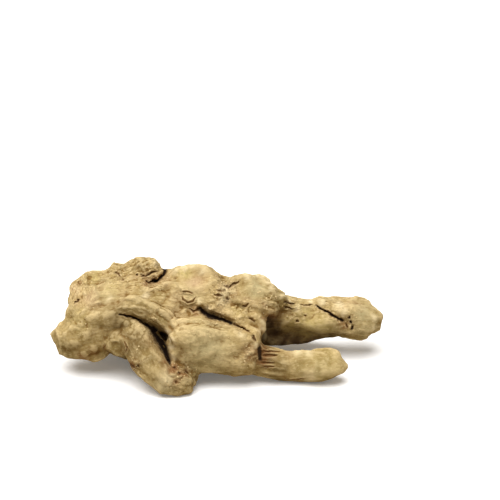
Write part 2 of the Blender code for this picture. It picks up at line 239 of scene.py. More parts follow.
# Cuts in the front face: a line of (across, up, half width), how deep it is, how high its lips stand
# and how ragged its edges are.
Cut = namedtuple("Cut", "name line depth lip ragged", defaults=(0.2, 1))
CUTS = [
    Cut("left crevice's start", [
        (-33.4, 27.4, 0.2), (-31.4, 27.2, 0.3), (-29.7, 26.9, 0.3), (-26.8, 25.6, 0.35), (-24, 23.8, 0.5),
        (-22.2, 22.6, 0.7),
    ], 1.4, 0.15, 0.4),
    Cut("left crevice's hole", [
        (-22.9, 23.8, 0.7), (-21.4, 21.8, 1.4), (-20, 19.5, 1.7), (-18.8, 17.2, 1.4), (-17.7, 14.7, 0.9),
        (-16.8, 12.4, 0.6), (-16, 10.6, 0.4),
    ], 3.6, 0.1, 0.3),
    Cut("right crevice's tail", [
        (-10, 29.2, 0.2), (-8.4, 28.4, 0.3), (-7.2, 28.6, 0.4), (-6.4, 29.5, 0.4),
    ], 0.8, 0.25),
    Cut("right crevice", [
        (-6.9, 29.8, 0.5), (-5.3, 28.3, 0.7), (-3.4, 26.8, 0.85), (-1.8, 26.4, 0.75), (0, 25.9, 0.65),
        (2.6, 25.1, 0.55), (4.5, 24.2, 0.55),
    ], 1.7, 0.3, 0.6),
    Cut("right crevice's end", [
        (4.2, 24.6, 0.3), (6.4, 23.6, 0.25), (8.4, 22.6, 0.35), (10.6, 21.4, 0.25),
    ], 0.9, 0.3),
    Cut("crack by the web", [(11.2, 20.6, 0.3), (11.7, 19.6, 0.45), (12.4, 18.6, 0.3)], 0.9, 0.3),
    Cut("finger crack", [
        (32.3, 30.2, 0.25), (34.2, 29.2, 0.32), (36.4, 27.9, 0.3), (38.4, 26.4, 0.45), (40.8, 25.5, 0.55),
        (41.8, 24.8, 0.25),
    ], 1.3, 0.25),
    Cut("pit by the crack", [(43.6, 26.8, 0.3), (43.8, 25.9, 0.4)], 1.2),
    Cut("second pit by the crack", [(43.9, 25, 0.5), (44.3, 24.2, 0.4)], 1.3),
    Cut("third pit by the crack", [(44.8, 23.5, 0.35), (44.7, 22.4, 0.4)], 1.2),
    Cut("fourth pit by the crack", [(42.4, 23.8, 0.25), (43, 22.9, 0.25)], 0.8),
    Cut("finger root crease", [(21.6, 31.8, 0.25), (23.4, 31.2, 0.3), (25.2, 30.8, 0.2)], 0.8, 0.3),
    Cut("second finger root crease", [(21.8, 30, 0.2), (23, 29.7, 0.3), (24.4, 29.2, 0.2)], 0.8, 0.2),
    Cut("crease on the finger", [(26.8, 30.6, 0.2), (29, 30.3, 0.3), (31.4, 30.2, 0.2)], 0.8, 0.2),
    Cut("finger pit", [(25.8, 25.4, 0.4), (26.6, 24.9, 0.3)], 0.9, 0.15),
    Cut("pit on the finger bump", [(28.4, 26.9, 0.3), (29.2, 26.6, 0.3)], 0.6, 0.1),
    Cut("notch by the bump", [
        (-18, 43, 0.8), (-18.4, 40.6, 0.5), (-20.4, 38.8, 0.45), (-23, 38, 0.3),
    ], 1.3),
    Cut("crease in the bump", [
        (-26.3, 40.2, 0.2), (-24.4, 40.2, 0.3), (-22.6, 41, 0.35), (-20.6, 41.8, 0.25),
    ], 0.9, 0.3),
    Cut("fold in the bump", [
        (-24.8, 38.3, 0.35), (-23.4, 37.6, 0.25), (-21.6, 38, 0.4), (-20.2, 39, 0.3),
    ], 0.8, 0.3),
    Cut("pit on the bump", [(-27.8, 40.6, 0.3), (-27.2, 40.2, 0.3)], 0.8),
    Cut("crease by the hump", [
        (6.9, 38.2, 0.25), (5, 37.8, 0.35), (3.2, 36.2, 0.4), (1.4, 37, 0.25),
    ], 0.75, 0.3),
    Cut("second crease by the hump", [(-1, 35.6, 0.2), (0.6, 35.3, 0.3), (2.2, 35, 0.2)], 0.5, 0.35),
    Cut("third crease by the hump", [(-1.4, 33.9, 0.2), (0.2, 33.8, 0.3), (1.4, 33.4, 0.2)], 0.5, 0.35),
    Cut("fourth crease by the hump", [(2.2, 32.6, 0.25), (3.4, 32.2, 0.25)], 0.5, 0.3),
    Cut("slit under the lobe", [(7.6, 30.2, 0.25), (8.8, 29.9, 0.35), (10, 30.8, 0.25)], 0.65, 0.35),
    Cut("second slit under the lobe", [(9.9, 26.4, 0.25), (11, 25.9, 0.35), (12, 25, 0.2)], 0.55, 0.3),
    Cut("slit in the shoulder", [(-48.2, 31, 0.25), (-47.4, 31.6, 0.5), (-46.7, 32.4, 0.25)], 0.9, 0.15),
    Cut("nick on the shoulder", [(-35.2, 41.2, 0.3), (-33.8, 41, 0.35), (-32.8, 40.2, 0.2)], 0.8, 0.15),
    Cut("second nick on the shoulder", [
        (-34, 39.2, 0.2), (-32.6, 38.8, 0.35), (-31.6, 39, 0.2),
    ], 0.7, 0.15),
    Cut("third nick on the shoulder", [(-47.2, 38.2, 0.25), (-46.6, 37, 0.3)], 0.6, 0.1),
    Cut("eye scar", [
        (-12.4, 33.6, 0.2), (-11.8, 32.2, 0.25), (-10.3, 31.4, 0.25), (-8.6, 31.8, 0.25), (-7.7, 33.2, 0.2),
    ], 0.45, 0.4, 0.4),
    Cut("crease over the eye scar", [
        (-12.6, 35, 0.2), (-10.6, 34.9, 0.25), (-8.6, 34.2, 0.2),
    ], 0.4, 0.3, 0.5),
    Cut("neck groove", [(13.4, 17, 0.5), (13.5, 15, 0.75), (13.8, 12.4, 0.5)], 1.2, 0.1, 0.6),
    Cut("first rib groove", [(14, 15, 0.22), (17.6, 15, 0.28), (21, 14.9, 0.15)], 0.55, 0.2, 0.5),
    Cut("second rib groove", [(14, 13.8, 0.25), (17, 13.7, 0.3), (19.6, 13.8, 0.15)], 0.55, 0.2, 0.5),
    Cut("third rib groove", [(13.6, 11.4, 0.25), (16.6, 11.3, 0.25), (18.6, 11.2, 0.15)], 0.5, 0.2, 0.5),
    Cut("fourth rib groove", [(14.2, 9.9, 0.2), (16.6, 10, 0.28), (18.8, 9.9, 0.15)], 0.5, 0.2, 0.5),
    Cut("groove under the finger", [(20.6, 6, 0.2), (25, 5.7, 0.25), (30, 5.9, 0.2)], 0.4, 0.25),
    Cut("pit beside the block", [(-14.9, 10, 0.4), (-14.3, 9.4, 0.45)], 0.8, 0.2),
    Cut("second pit beside the block", [(-13.6, 7.9, 0.35), (-12.8, 7.7, 0.3)], 0.7, 0.25),
    Cut("third pit beside the block", [(-11.4, 8.5, 0.4), (-10.5, 7.9, 0.35)], 0.7, 0.2),
    Cut("pit on the leg's pad", [(-14.2, 5.6, 0.3), (-13.8, 5, 0.3)], 0.6, 0.2),
    Cut("leg nick", [(-30, 11.6, 0.25), (-29.2, 10.6, 0.45), (-28.2, 10, 0.3)], 0.8, 0.2),
    Cut("second leg nick", [(-27, 11, 0.3), (-26.4, 10.2, 0.3)], 0.7, 0.2),
    Cut("ear's edge", [(-36.2, 14.2, 0.25), (-38.2, 15.8, 0.3), (-38.2, 18, 0.25)], 0.5, 0.15),
    Cut("ear's inner edge", [(-31.6, 18.4, 0.2), (-30.6, 16.6, 0.3), (-31.2, 14.8, 0.25)], 0.5, 0.15),
]

# Cuts in the back, in its own across and up.
BACK_CUTS = [
    Cut("long crease", [(36, 5, 0.3), (30, 3.4, 0.4), (24, 4.2, 0.5), (17, 2.6, 0.4), (10, 3.4, 0.3)], 0.7),
    Cut("crease over the left stub", [
        (15, -5, 0.35), (18.4, -1.8, 0.5), (24, -0.8, 0.5), (29.4, -2.4, 0.45), (32.4, -5.6, 0.3),
    ], 0.8),
    Cut("crease over the right stub", [
        (-15, -5, 0.3), (-11.4, -2, 0.5), (-6, -1.2, 0.45), (-1, -2.6, 0.5), (2, -6, 0.3),
    ], 0.8),
    Cut("crack in the finger", [
        (-26, -2, 0.25), (-32, -3.4, 0.4), (-37, -2.8, 0.3), (-40, -3.4, 0.2),
    ], 0.7, 0.3),
    Cut("crease behind the shoulder", [(47, 8.4, 0.25), (43, 6.2, 0.4), (41, 1.8, 0.3)], 0.7),
    Cut("crease in the hump", [(16, 9, 0.25), (11, 8, 0.35), (6, 8.8, 0.3), (2, 7.4, 0.25)], 0.65, 0.3),
    Cut("nick behind the lobe", [(-4, 8.6, 0.3), (-8, 7.4, 0.4), (-12, 7.8, 0.25)], 0.65, 0.3),
]


def arc(middle, radius, start, end, half_width, steps=12):
    """A line round a place on the face, from one angle to another in degrees."""
    angles = [math.radians(start + (end - start) * step / steps) for step in range(steps + 1)]
    return [(middle[0] + radius * math.cos(a), middle[1] + radius * math.sin(a), half_width) for a in angles]


# Ridges raised on the front face: a line of (across, up, half width) and how high it stands.
Ridge = namedtuple("Ridge", "name line height")
RIDGES = [
    Ridge("upper fold", [
        (-41.9, 28.7, 0.4), (-36, 29.9, 0.45), (-29.7, 29.8, 0.5), (-25.4, 29.8, 0.5), (-21.6, 28, 0.45),
        (-18.6, 25.4, 0.4),
    ], 0.16),
    Ridge("lower fold", [
        (-40, 26, 0.4), (-34, 28.2, 0.4), (-29, 28.4, 0.4), (-24, 26.2, 0.4), (-20.6, 23.6, 0.4),
    ], 0.12),
    Ridge("middle ear ring", arc((-34.8, 16.6), 2.2, -30, 250, 0.35), 0.16),
    Ridge("outer ear ring", arc((-34.4, 16.6), 3.6, -20, 200, 0.4), 0.2),
    Ridge("upper lip", [(-7.6, 30.6, 0.4), (-5.6, 31, 0.5), (-3.8, 30, 0.4)], 0.35),
    Ridge("lobe's rim", [(8.6, 40.6, 0.5), (13, 40.6, 0.5), (16, 39.8, 0.5), (17.4, 37.6, 0.5)], 0.3),
    Ridge("web rim", [(14.7, 26, 0.5), (15.3, 23.4, 0.6), (15.2, 19.4, 0.6), (14.6, 17.4, 0.5)], 0.45),
    Ridge("finger rim", [(20.6, 33.4, 0.5), (23.4, 32.7, 0.6), (26, 31.6, 0.5)], 0.5),
    Ridge("second finger rim", [(22, 28.4, 0.5), (25, 29.6, 0.5), (28.6, 30, 0.5), (32, 28.8, 0.5)], 0.3),
]

# Knobs raised on the front face, as (across, up, radius, height).
KNOBS = [
    (-31, 30, 1.1, 0.3), (-28.4, 30.5, 1.1, 0.35), (-26, 30.4, 1.1, 0.35), (-23.8, 29.8, 1, 0.3),
    (-21.8, 28.6, 1, 0.25), (-45.4, 24.4, 2, 0.5), (-41, 24.2, 1.9, 0.45), (-44, 20.2, 2, 0.45),
    (-39.4, 20.2, 1.7, 0.4), (-48.8, 22.8, 1.5, 0.4), (-41.6, 16, 1.7, 0.35), (-47.6, 17.6, 1.8, 0.35),
    (-37, 22.8, 1.6, 0.3), (-44.6, 13.6, 1.6, 0.3), (-27.4, 11.8, 1.1, 0.4), (-28, 9.6, 0.9, 0.3),
    (-10.2, 33, 1.3, 0.35), (-12.2, 34.6, 0.8, 0.2), (5, 29.6, 0.9, 0.3), (6.7, 28.8, 0.8, 0.35),
    (8.8, 28.4, 0.9, 0.4), (10.6, 29, 0.7, 0.3), (9.4, 26.8, 0.7, 0.3), (6.8, 26.4, 0.8, 0.3),
    (12.2, 27.2, 0.8, 0.3), (24, 25.8, 1, 0.35), (25.4, 27.2, 0.8, 0.3), (23.4, 28, 0.7, 0.25),
    (28.8, 28, 3, 0.5), (1.4, 36, 0.8, 0.3), (-0.4, 34.6, 0.8, 0.25), (2.4, 33.6, 0.8, 0.25),
    (4.4, 36.6, 0.7, 0.25), (-24.4, 34.4, 0.9, 0.25), (-23.4, 39.2, 1, 0.3), (-21, 40, 0.8, 0.3),
    (-12.2, 9, 0.7, 0.3), (-12.8, 6.6, 0.8, 0.3), (-15, 7.4, 0.8, 0.3), (5.6, 22, 0.9, 0.25),
    (8.8, 20.8, 1, 0.3), (-4.6, 17, 5, 0.7), (-27.4, 22.6, 3.6, 1.2), (-30.4, 22.4, 3, 0.8),
    (-25, 19.4, 3.4, 0.6), (-36.4, 24.4, 5, 0.9), (-41, 25, 4, 0.8), (-26, 33.4, 5, 0.7),
    (-20.6, 31.6, 4, 1), (-16.6, 29.2, 4, 1.2), (-13.2, 26, 3.4, 0.9),
]

# Places on the face where the skin is smoother or rougher, as (across, up, radius, how much).
SMOOTH_PLACES = [
    (12, 35, 7, 0.8), (30, 25, 6, 0.5), (-8, 39, 6.5, 0.8), (14.8, 22, 3, 0.6), (38, 9, 7, 0.7),
    (-2, 17, 8, 0.6), (-5, 9, 4, 0.7), (-36, 33, 8, 0.6), (-16, 32, 6, 0.5), (48, 26, 5, 0.6),
    (30, 11, 8, 0.6), (-24.6, 17, 5, 0.7), (-21, 9, 4, 0.6), (-48, 19, 6, 0.5), (-40, 20, 6, 0.5),
    (35, 24, 4, 0.7),
]
ROUGH_PLACES = [
    (-23.5, 40, 4.5, 0.9), (-12, 7, 4, 0.8), (8, 28, 4, 0.7), (-34, 40.6, 4, 0.8), (2, 35, 4.5, 0.9),
    (44, 24, 3, 0.8), (24, 31, 4, 0.5), (37, 31.4, 4, 0.5), (-28, 10, 3, 0.6), (17, 32, 4, 0.6),
    (-1, 27.5, 6, 0.6), (11, 14, 4, 0.6), (-46, 38, 4, 0.5), (-22, 25, 5, 0.4), (-45, 25, 4, 0.3),
]

# Places on the face whose shape is smoother than the solid's, as (across, up, radius, how much), and how
# many times they are smoothed.
SOFT_PLACES = [
    (-42, 27.6, 4.4, 1), (-37, 29.4, 4.4, 1), (-31.6, 29.8, 4.4, 1), (-26.6, 29.4, 4.4, 1),
    (-22.4, 27.6, 4, 1), (-18.6, 24.4, 3, 0.8), (-34.4, 16.6, 5.5, 0.85), (-3, 16, 9, 0.7),
    (-45, 19, 7, 0.5), (-24, 16, 5, 0.6), (-20, 8, 5, 0.6), (-8, 37, 6, 0.7), (28, 11, 8, 0.7),
    (40.8, 10.4, 4.4, 1), (47.4, 18.8, 3.4, 1), (52, 22, 4, 0.8), (-36.6, 25, 5, 0.9), (-34, 36, 6, 0.5),
    (12, 34, 7, 0.85), (6, 36, 4, 0.5), (30, 26, 6, 0.6), (48, 25, 6, 0.6), (-13, 29, 6, 0.5),
]
SOFTENING = 44

# Patches on the face, as (across, up, radius, strength), by kind. Most are stains, but the pale ones are
# mostly painted highlights along rims and edges, the olive ones on the lower finger and the umber ones on the
# upper lobe's right flank are painted shade, and the two yellow ones on the upper finger's lower side paint
# light on skin that the painted under-shade darkens.
PATCHES = {
    "rosy": [
        (-8, 38.4, 3.4, 0.9), (-14, 33, 3, 0.5), (10.6, 14.6, 2.6, 0.7), (-34, 31, 5, 0.5),
        (-42, 32, 4, 0.7), (-49.6, 36, 2, 0.7), (-40, 37, 3, 0.4), (-22, 38, 2.4, 0.8), (-18, 38, 2.4, 0.5),
        (15.2, 22, 1.8, 0.7), (-26, 20, 4, 0.4), (-17.6, 7.4, 2.4, 0.5), (-14, 27, 4, 0.4),
        (16, 30.8, 1.4, 0.6), (24, 14, 3, 0.4), (1, 28.6, 4, 0.3),
    ],
    "yellow": [
        (-11.6, 41.2, 2.2, 0.9), (-9.8, 41.4, 2, 0.7), (-42, 38.9, 2.6, 0.7), (-36, 35, 3.4, 0.5),
        (28, 27.8, 3.4, 0.6), (30, 23, 3.4, 1), (35, 23, 3.4, 0.9), (24, 23.6, 2.4, 0.6), (-31, 27, 5, 0.4),
        (36, 9, 6, 0.5), (22, 33, 3, 0.6), (6, 29, 3, 0.4), (-19, 25.2, 1.6, 0.6), (-46, 27, 4, 0.4),
    ],
    "grey_green": [
        (-4, 15, 9, 0.7), (-18, 4, 4, 0.7), (12.4, 36, 3.4, 0.8), (48.6, 27, 4, 0.7), (49, 22, 3, 0.6),
        (34, 8.8, 2.6, 0.5), (-22.6, 22, 2, 0.5), (-10, 33, 6, 0.3), (-38, 33, 5, 0.3),
    ],
    "olive": [
        (-53, 16, 4, 0.8), (-42, 18, 7, 0.4), (-35, 16.6, 4.6, 0.6), (-5.6, 9.4, 3.6, 0.7),
        (20, 11, 6, 0.7), (-16.4, 3, 3, 0.6), (16, 34, 3, 0.4), (28, 11, 6, 0.85), (36, 10, 6, 0.85),
        (-49, 14, 5, 0.6), (2, 6, 4, 0.4), (27, 26, 4, 0.5), (-8, 7, 4, 0.6), (40, 22, 5, 0.5),
        (37, 25, 4, 0.5), (52, 24, 4, 0.5), (-38, 14, 3, 0.6), (-25, 17, 7, 0.75), (-21, 10, 4, 0.4),
        (-36, 28, 6, 0.6), (-26, 29, 6, 0.65), (-20, 32, 6, 0.45), (-45, 20, 7, 0.5), (48, 23, 5, 0.4),
        (40, 11, 5, 0.6), (10, 36, 4, 0.4), (22, 13, 6, 0.5),
    ],
    "umber": [
        (-28, 18, 5, 0.75), (-32.7, 25.6, 5, 0.8), (-19.4, 25.6, 3, 0.4), (-26, 27, 4, 0.45),
        (-36, 22, 5, 0.4), (19.8, 33, 3, 0.4), (19.8, 28.6, 2.4, 0.5), (19.6, 9.4, 3, 0.5),
        (-12, 8, 3, 0.3), (-51, 15, 4, 0.4), (19, 8.4, 3, 0.4), (15.8, 15.4, 2.2, 0.9),
        (14.6, 12, 1.6, 0.9), (17, 12.6, 2, 0.5),
    ],
    "pale": [
        (9.5, 40.4, 1.1, 0.8), (12.5, 40.8, 1.1, 0.9), (15.2, 40.2, 1.1, 0.9), (17, 38.2, 1.1, 0.8),
        (17.8, 35.6, 1, 0.6), (15.4, 24.4, 0.9, 0.9), (15.4, 22, 0.9, 0.9), (15.2, 19.6, 0.9, 0.8),
        (-15, 42.6, 1.2, 0.7), (-12, 43.4, 1.2, 0.8), (-8.6, 43.6, 1.2, 0.8), (-5.4, 42.4, 1.2, 0.7),
        (21.4, 33.2, 0.8, 0.9), (23.6, 32.3, 0.8, 0.8), (26.6, 28.9, 1, 0.7), (31, 31.4, 0.8, 0.7),
        (34.6, 31.4, 0.9, 0.8), (40.6, 30.4, 1.4, 0.7), (41.6, 27.6, 1.2, 0.7), (-6.8, 31, 0.8, 0.7),
        (-4, 29.6, 0.7, 0.5), (7.2, 20.6, 1, 0.7), (-17, 21.7, 0.8, 0.8), (-16.3, 19.1, 0.8, 0.9),
        (-15.8, 16.5, 0.8, 0.9), (-15.2, 13, 0.8, 0.7), (-24.3, 34.2, 0.9, 0.8), (-36.5, 32.2, 0.9, 0.6),
        (-21.1, 44.3, 1, 0.7), (30.6, 6, 2, 0.6), (2, 32.6, 2, 0.6), (2.4, 35.6, 2, 0.6),
        (-17.6, 5, 2.4, 0.5), (12.6, 17.2, 1, 0.7), (26, 15, 1.4, 0.5), (30, 15, 1.4, 0.5),
        (52, 26, 1, 0.7), (52, 22.6, 1, 0.6),
    ],
    "rust": [
        (15, 15, 2.4, 1), (14.8, 12.4, 2, 0.9), (-14.7, 9.4, 1.6, 0.9), (-12, 7.6, 1.8, 0.7),
        (16.4, 13.8, 2.4, 0.6), (-17.6, 12, 1.5, 0.7), (-28.8, 10.4, 1.4, 0.7), (-13.8, 5.2, 1.4, 0.7),
        (-45.4, 12.1, 1.8, 0.7), (-42, 14.4, 1.4, 0.5), (-20.6, 38.6, 1, 0.7), (-24.4, 38.2, 0.9, 0.7),
        (-25, 40, 1, 0.5), (-8, 28.4, 1.4, 0.6), (16, 26, 1.4, 0.6), (10.6, 12, 1.2, 0.4),
        (-46.7, 37.9, 0.8, 0.6), (18, 26.4, 2, 0.8), (42, 24, 1.4, 0.5), (5.8, 34, 1.2, 0.3),
    ],
}

# Places on the face that lie in deep shade, given the same way, how soon the shade leaves skin that turns
# away, and how far back skin has to lie to be in it.
SHADE_PLACES = [
    (17.2, 24, 2.2, 1), (18.6, 20.6, 3.4, 1), (22, 18, 3.4, 1), (26, 17.4, 3.6, 1), (30, 17, 3.6, 1),
    (34, 17.2, 3.6, 1), (38, 18, 2.8, 0.9), (20, 23.4, 1.8, 0.8), (16.6, 25.6, 1.8, 1),
    (19.4, 24.6, 1.6, 0.7),
]
SHADE_TURN = 4
SHADE_START = 18.4

# The tint of each kind of patch. The pale tint paints highlights, the olive and umber tints also paint shade,
# and the yellow tint also paints light, in the patches named above.
TINTS = {
    "rosy": (0.50, 0.33, 0.19, 1),
    "yellow": (0.53, 0.42, 0.15, 1),
    "grey_green": (0.46, 0.40, 0.22, 1),
    "olive": (0.22, 0.16, 0.052, 1),
    "umber": (0.13, 0.082, 0.026, 1),
    "pale": (0.78, 0.64, 0.38, 1),
    "rust": (0.2, 0.078, 0.022, 1),
}

# Colours of the skin, from a light crest to the dark in a crevice. The crest and hollow colours also paint
# light on crests and shade in hollows, creases and pits, and the under, shade and crack shade colours are
# painted shade on skin that faces down, under the upper finger and in cracks.
CREST_COLOUR = (0.66, 0.51, 0.265, 1)
CLOUD_COLOUR = (0.49, 0.355, 0.155, 1)
SKIN_COLOUR = (0.41, 0.285, 0.108, 1)
UNDER_SHADE_COLOUR = (0.26, 0.16, 0.036, 1)
HOLLOW_COLOUR = (0.165, 0.082, 0.014, 1)
SHADE_COLOUR = (0.055, 0.027, 0.010, 1)
CRACK_SHADE_COLOUR = (0.016, 0.007, 0.0025, 1)

# Random patterns: soft clouds about a size across, streaks with a length along the grain and a width, and
# spots, each with a reach, in a share of cells with a length and a width. Spots have a soft edge, and a
# core of this share of their reach.
Cloud = namedtuple("Cloud", "size detail roughness", defaults=(2.0, 0.5))
Streak = namedtuple("Streak", "length width detail", defaults=(3.0,))
Spot = namedtuple("Spot", "length width share reach")
STREAK_ROUGHNESS = 0.6
SPOT_EDGE = 0.05
SPOT_CORE = 0.4
CLOUDS = Cloud(9.0, 3.0)
MOTTLES = Cloud(2.4, 3.0, 0.6)
GRIT = Cloud(0.9, 4.0, 0.65)
FLAKE_CLOUDS = Cloud(1.5)
FLAKE_GRIT = Cloud(0.3)
HUES = Streak(9.0, 5.0, 2.0)
STREAKS = Streak(4.5, 0.7)
THREADS = Streak(1.8, 0.7)
PITS = Spot(1.7, 1.1, 0.2, 0.3)
FLECKS = Spot(1.5, 0.9, 0.4, 0.42)

# The flecks are moved off the pits' cells. They show this much on plain skin, and this much more on rough.
FLECK_SHIFT = (3.3, 1.7, 0.6)
FLECK_SHARE = 0.15
ROUGH_FLECK_SHARE = 0.35

# Between which values clouds go from one colour to the other and grit breaks up a tint or a stain, how wide
# a crease is, and how much the grit frays the edges of hollows.
CLOUD_SPREAD = (0.3, 0.7)
TINT_SPREAD = (0.1, 0.5)
STAIN_SPREAD = (0.2, 0.6)
CREASE_WIDTH = 0.1
CREST_GRIT = 0.08

# The coats of colour over the first one, in their order: the pattern or mark that a coat follows, how much
# of it shows at most, its colour, and from which value to which the pattern brings it out.
Coat = namedtuple("Coat", "follows most colour start full", defaults=(None, None))
COATS = [
    Coat("hues", 0.4, TINTS["rosy"], 0.55, 0.75),
    Coat("hues", 0.35, TINTS["olive"], 0.45, 0.25),
    # Painted shade on skin that faces down.
    Coat("under", 0.75, UNDER_SHADE_COLOUR),
    # The patches, broken up by grit: stains, and among them painted highlights, painted shade and painted
    # light.
    *(Coat(f"broken {name}", 1, tint) for name, tint in TINTS.items()),
    Coat("mottles", 0.3, HOLLOW_COLOUR, 0.5, 0.3),
    Coat("mottles", 0.35, CREST_COLOUR, 0.5, 0.7),
    Coat("streaks", 0.25, HOLLOW_COLOUR, 0.5, 0.3),
    Coat("streaks", 0.3, CREST_COLOUR, 0.52, 0.72),
    Coat("grit", 0.3, CREST_COLOUR, 0.5, 0.75),
    Coat("grit", 0.4, HOLLOW_COLOUR, 0.42, 0.25),
    # Painted light on the crests, and painted shade in small and in broad hollows.
    Coat("crest", 0.6, CREST_COLOUR, 0.0, 0.14),
    Coat("gritty crest", 0.8, HOLLOW_COLOUR, -0.02, -0.16),
    Coat("swell", 0.8, HOLLOW_COLOUR, 0.0, -1.4),
    Coat("bright flecks", 1, CREST_COLOUR),
    # Painted shade in the creases and pits.
    Coat("creases", 0.35, HOLLOW_COLOUR),
    Coat("pits", 0.7, HOLLOW_COLOUR),
    # Umber patches, some of them painted shade, rust stains, and pale patches that are mostly painted
    # highlights.
    Coat("umber", 0.6, TINTS["umber"]),
    Coat("rust", 0.6, TINTS["rust"]),
    Coat("pale", 0.6, TINTS["pale"]),
    # Painted shade in the pits of the rootlet scars.
    Coat("scar", 0.7, HOLLOW_COLOUR),
    Coat("broken stain", 0.5, TINTS["rust"]),
    # Painted shade under the upper finger and in the cracks.
    Coat("shade", 1, SHADE_COLOUR),
    Coat("deep", 1, CRACK_SHADE_COLOUR),
]

# Finish of the skin: how high each pattern stands in the bump, as shares of the bump's own height, and how
# rough and shiny it is.
BUMPS = {"streaks": 0.3, "grit": 0.5, "flecks": 0.25, "pits": -0.6, "creases": -0.4}
BUMP_STRENGTH = 0.65
BUMP_HEIGHT = 0.45
LEAST_ROUGHNESS = 0.8
GRIT_ROUGHNESS = 0.18
SHINE = 0.14
FLAKE_BUMP_STRENGTH = 0.6
FLAKE_BUMP_HEIGHT = 0.1
FLAKE_ROUGHNESS = 0.9


def find_socket(sockets, key):
    """A node's socket by its place, its identifier or its name."""
    if isinstance(key, int):
        return sockets[key]
    return next(socket for socket in sockets if key in (socket.identifier, socket.name))


class Wire:
    """What comes out of a node's socket. Maths on numbers that it carries is written as an expression."""

    def __init__(self, board, socket):
        self.board = board
        self.socket = socket

    def out(self, name):
        """Another socket of the same node."""
        return Wire(self.board, find_socket(self.socket.node.outputs, name))

    def _maths(self, operation, first, second):
        return self.board.node("ShaderNodeMath", {"operation": operation}, {0: first, 1: second})

    def __add__(self, other):
        return self._maths("ADD", self, other)

    def __radd__(self, other):
        return self._maths("ADD", other, self)

    def __sub__(self, other):
        return self._maths("SUBTRACT", self, other)

    def __rsub__(self, other):
        return self._maths("SUBTRACT", other, self)

    def __mul__(self, other):
        return self._maths("MULTIPLY", self, other)

    def __rmul__(self, other):
        return self._maths("MULTIPLY", other, self)

    def __truediv__(self, other):
        return self._maths("DIVIDE", self, other)

    def __rtruediv__(self, other):
        return self._maths("DIVIDE", other, self)


class Board:
    """A node tree that is filled in by naming nodes."""

    def __init__(self, tree):
        self.tree = tree

    def node(self, kind, settings=None, sockets=None, output=0):
        """Adds a node: its type, its settings, the values or wires of its sockets, and the output wanted."""
        node = self.tree.nodes.new(kind)
        for name, value in (settings or {}).items():
            setattr(node, name, value)
        for key, value in (sockets or {}).items():
            socket = find_socket(node.inputs, key)
            if isinstance(value, Wire):
                self.tree.links.new(value.socket, socket)
            else:
                socket.default_value = value
        return None if output is None else Wire(self, find_socket(node.outputs, output))


def new_object(name, data):
    """A new object in the scene."""
    thing = bpy.data.objects.new(name, data)
    bpy.context.scene.collection.objects.link(thing)
    return thing


def apply_modifiers(thing):
    """Replaces an object's mesh by what its modifiers make of it."""
    bpy.context.view_layer.update()
    made = thing.evaluated_get(bpy.context.evaluated_depsgraph_get())
    thing.data = bpy.data.meshes.new_from_object(made)
    thing.modifiers.clear()


def read_vertices(thing, what):
    """Each vertex's "co" or "normal" as a row."""
    flat = np.empty(len(thing.data.vertices) * 3)
    thing.data.vertices.foreach_get(what, flat)
    return flat.reshape(-1, 3)


def read_places(thing):
    """The vertices in the drawing's frame, in millimetres."""
    return read_vertices(thing, "co") / MM + DRAWN_AT


def write_places(thing, places):
    """Moves the vertices to places in the drawing's frame."""
    thing.data.vertices.foreach_set("co", ((places - DRAWN_AT) * MM).ravel())
    thing.data.update()


def store(thing, name, values):
    """Keeps a number or a vector for each vertex under a name."""
    kind, field = ("FLOAT", "value") if values.ndim == 1 else ("FLOAT_VECTOR", "vector")
    attribute = thing.data.attributes.new(name, kind, "POINT")
    attribute.data.foreach_set(field, np.ascontiguousarray(values, np.float32).ravel())


def close_skin():
    """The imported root's shape as one close, even skin without its flat facets."""
    skin = new_object("dried_root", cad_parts["rhizome"].data.copy())
    weld = bmesh.new()
    weld.from_mesh(skin.data)
    bmesh.ops.remove_doubles(weld, verts=weld.verts, dist=WELD * MM)
    weld.to_mesh(skin.data)
    weld.free()
    remesh = skin.modifiers.new("even", "REMESH")
    remesh.mode = "VOXEL"
    remesh.voxel_size = VOXEL * MM
    smooth = skin.modifiers.new("soften", "SMOOTH")
    smooth.factor = SMOOTHING_SHARE
    smooth.iterations = SMOOTHING_STEPS
    apply_modifiers(skin)
    skin.data.materials.clear()
    return skin


Face = namedtuple("Face", "across up way")


def make_face(turn, lean):
    """A way to look at the root, from a turn round it and with the face leaning back, in degrees."""
    turn, lean = math.radians(turn), math.radians(lean)
    level = np.array((math.sin(turn), -math.cos(turn), 0))
    upright = np.array((0, 0, 1))
    return Face(
        np.array((math.cos(turn), math.sin(turn), 0)),
        upright * math.cos(lean) - level * math.sin(lean),
        level * math.cos(lean) + upright * math.sin(lean),
    )


FRONT = make_face(0, FACE_LEAN)
BACK = make_face(180, FACE_LEAN)


def on_face(places, face=FRONT):
    """Each place as seen on a face: across and up."""
    return np.column_stack((places @ face.across, places @ face.up))


def facing(normals, face=FRONT):
    """From 0 where the skin turns away from a face to 1 where it looks the same way."""
    return np.clip(normals @ face.way * FACE_TURN_IN, 0, 1)


def grain_of(places, lobe):
    """How far each place is outside a lobe, and its place along the lobe and across it."""
    outside = np.full(len(places), np.inf)
    grain = np.zeros((len(places), 3))
    travelled = 0.0
    stations = np.array(lobe.line, float)
    for start, end in zip(stations, stations[1:]):
        run = end[:3] - start[:3]
        length = np.linalg.norm(run)
        run /= length
        level = np.cross(run, (0, 0, 1))
        level /= np.linalg.norm(level)
        offset = places - start[:3]
        share = np.clip(offset @ run / length, 0, 1)
        across = offset - (share * length)[:, None] * run
        distance = np.linalg.norm(across, axis=1) - start[3] - share * (end[3] - start[3])
        nearer = distance < outside
        outside[nearer] = distance[nearer]
        grain[nearer, 0] = travelled + offset[nearer] @ run
        grain[nearer, 1] = across[nearer] @ level
        grain[nearer, 2] = across[nearer] @ np.cross(level, run)
        travelled += length
    return np.maximum(outside, 0), grain


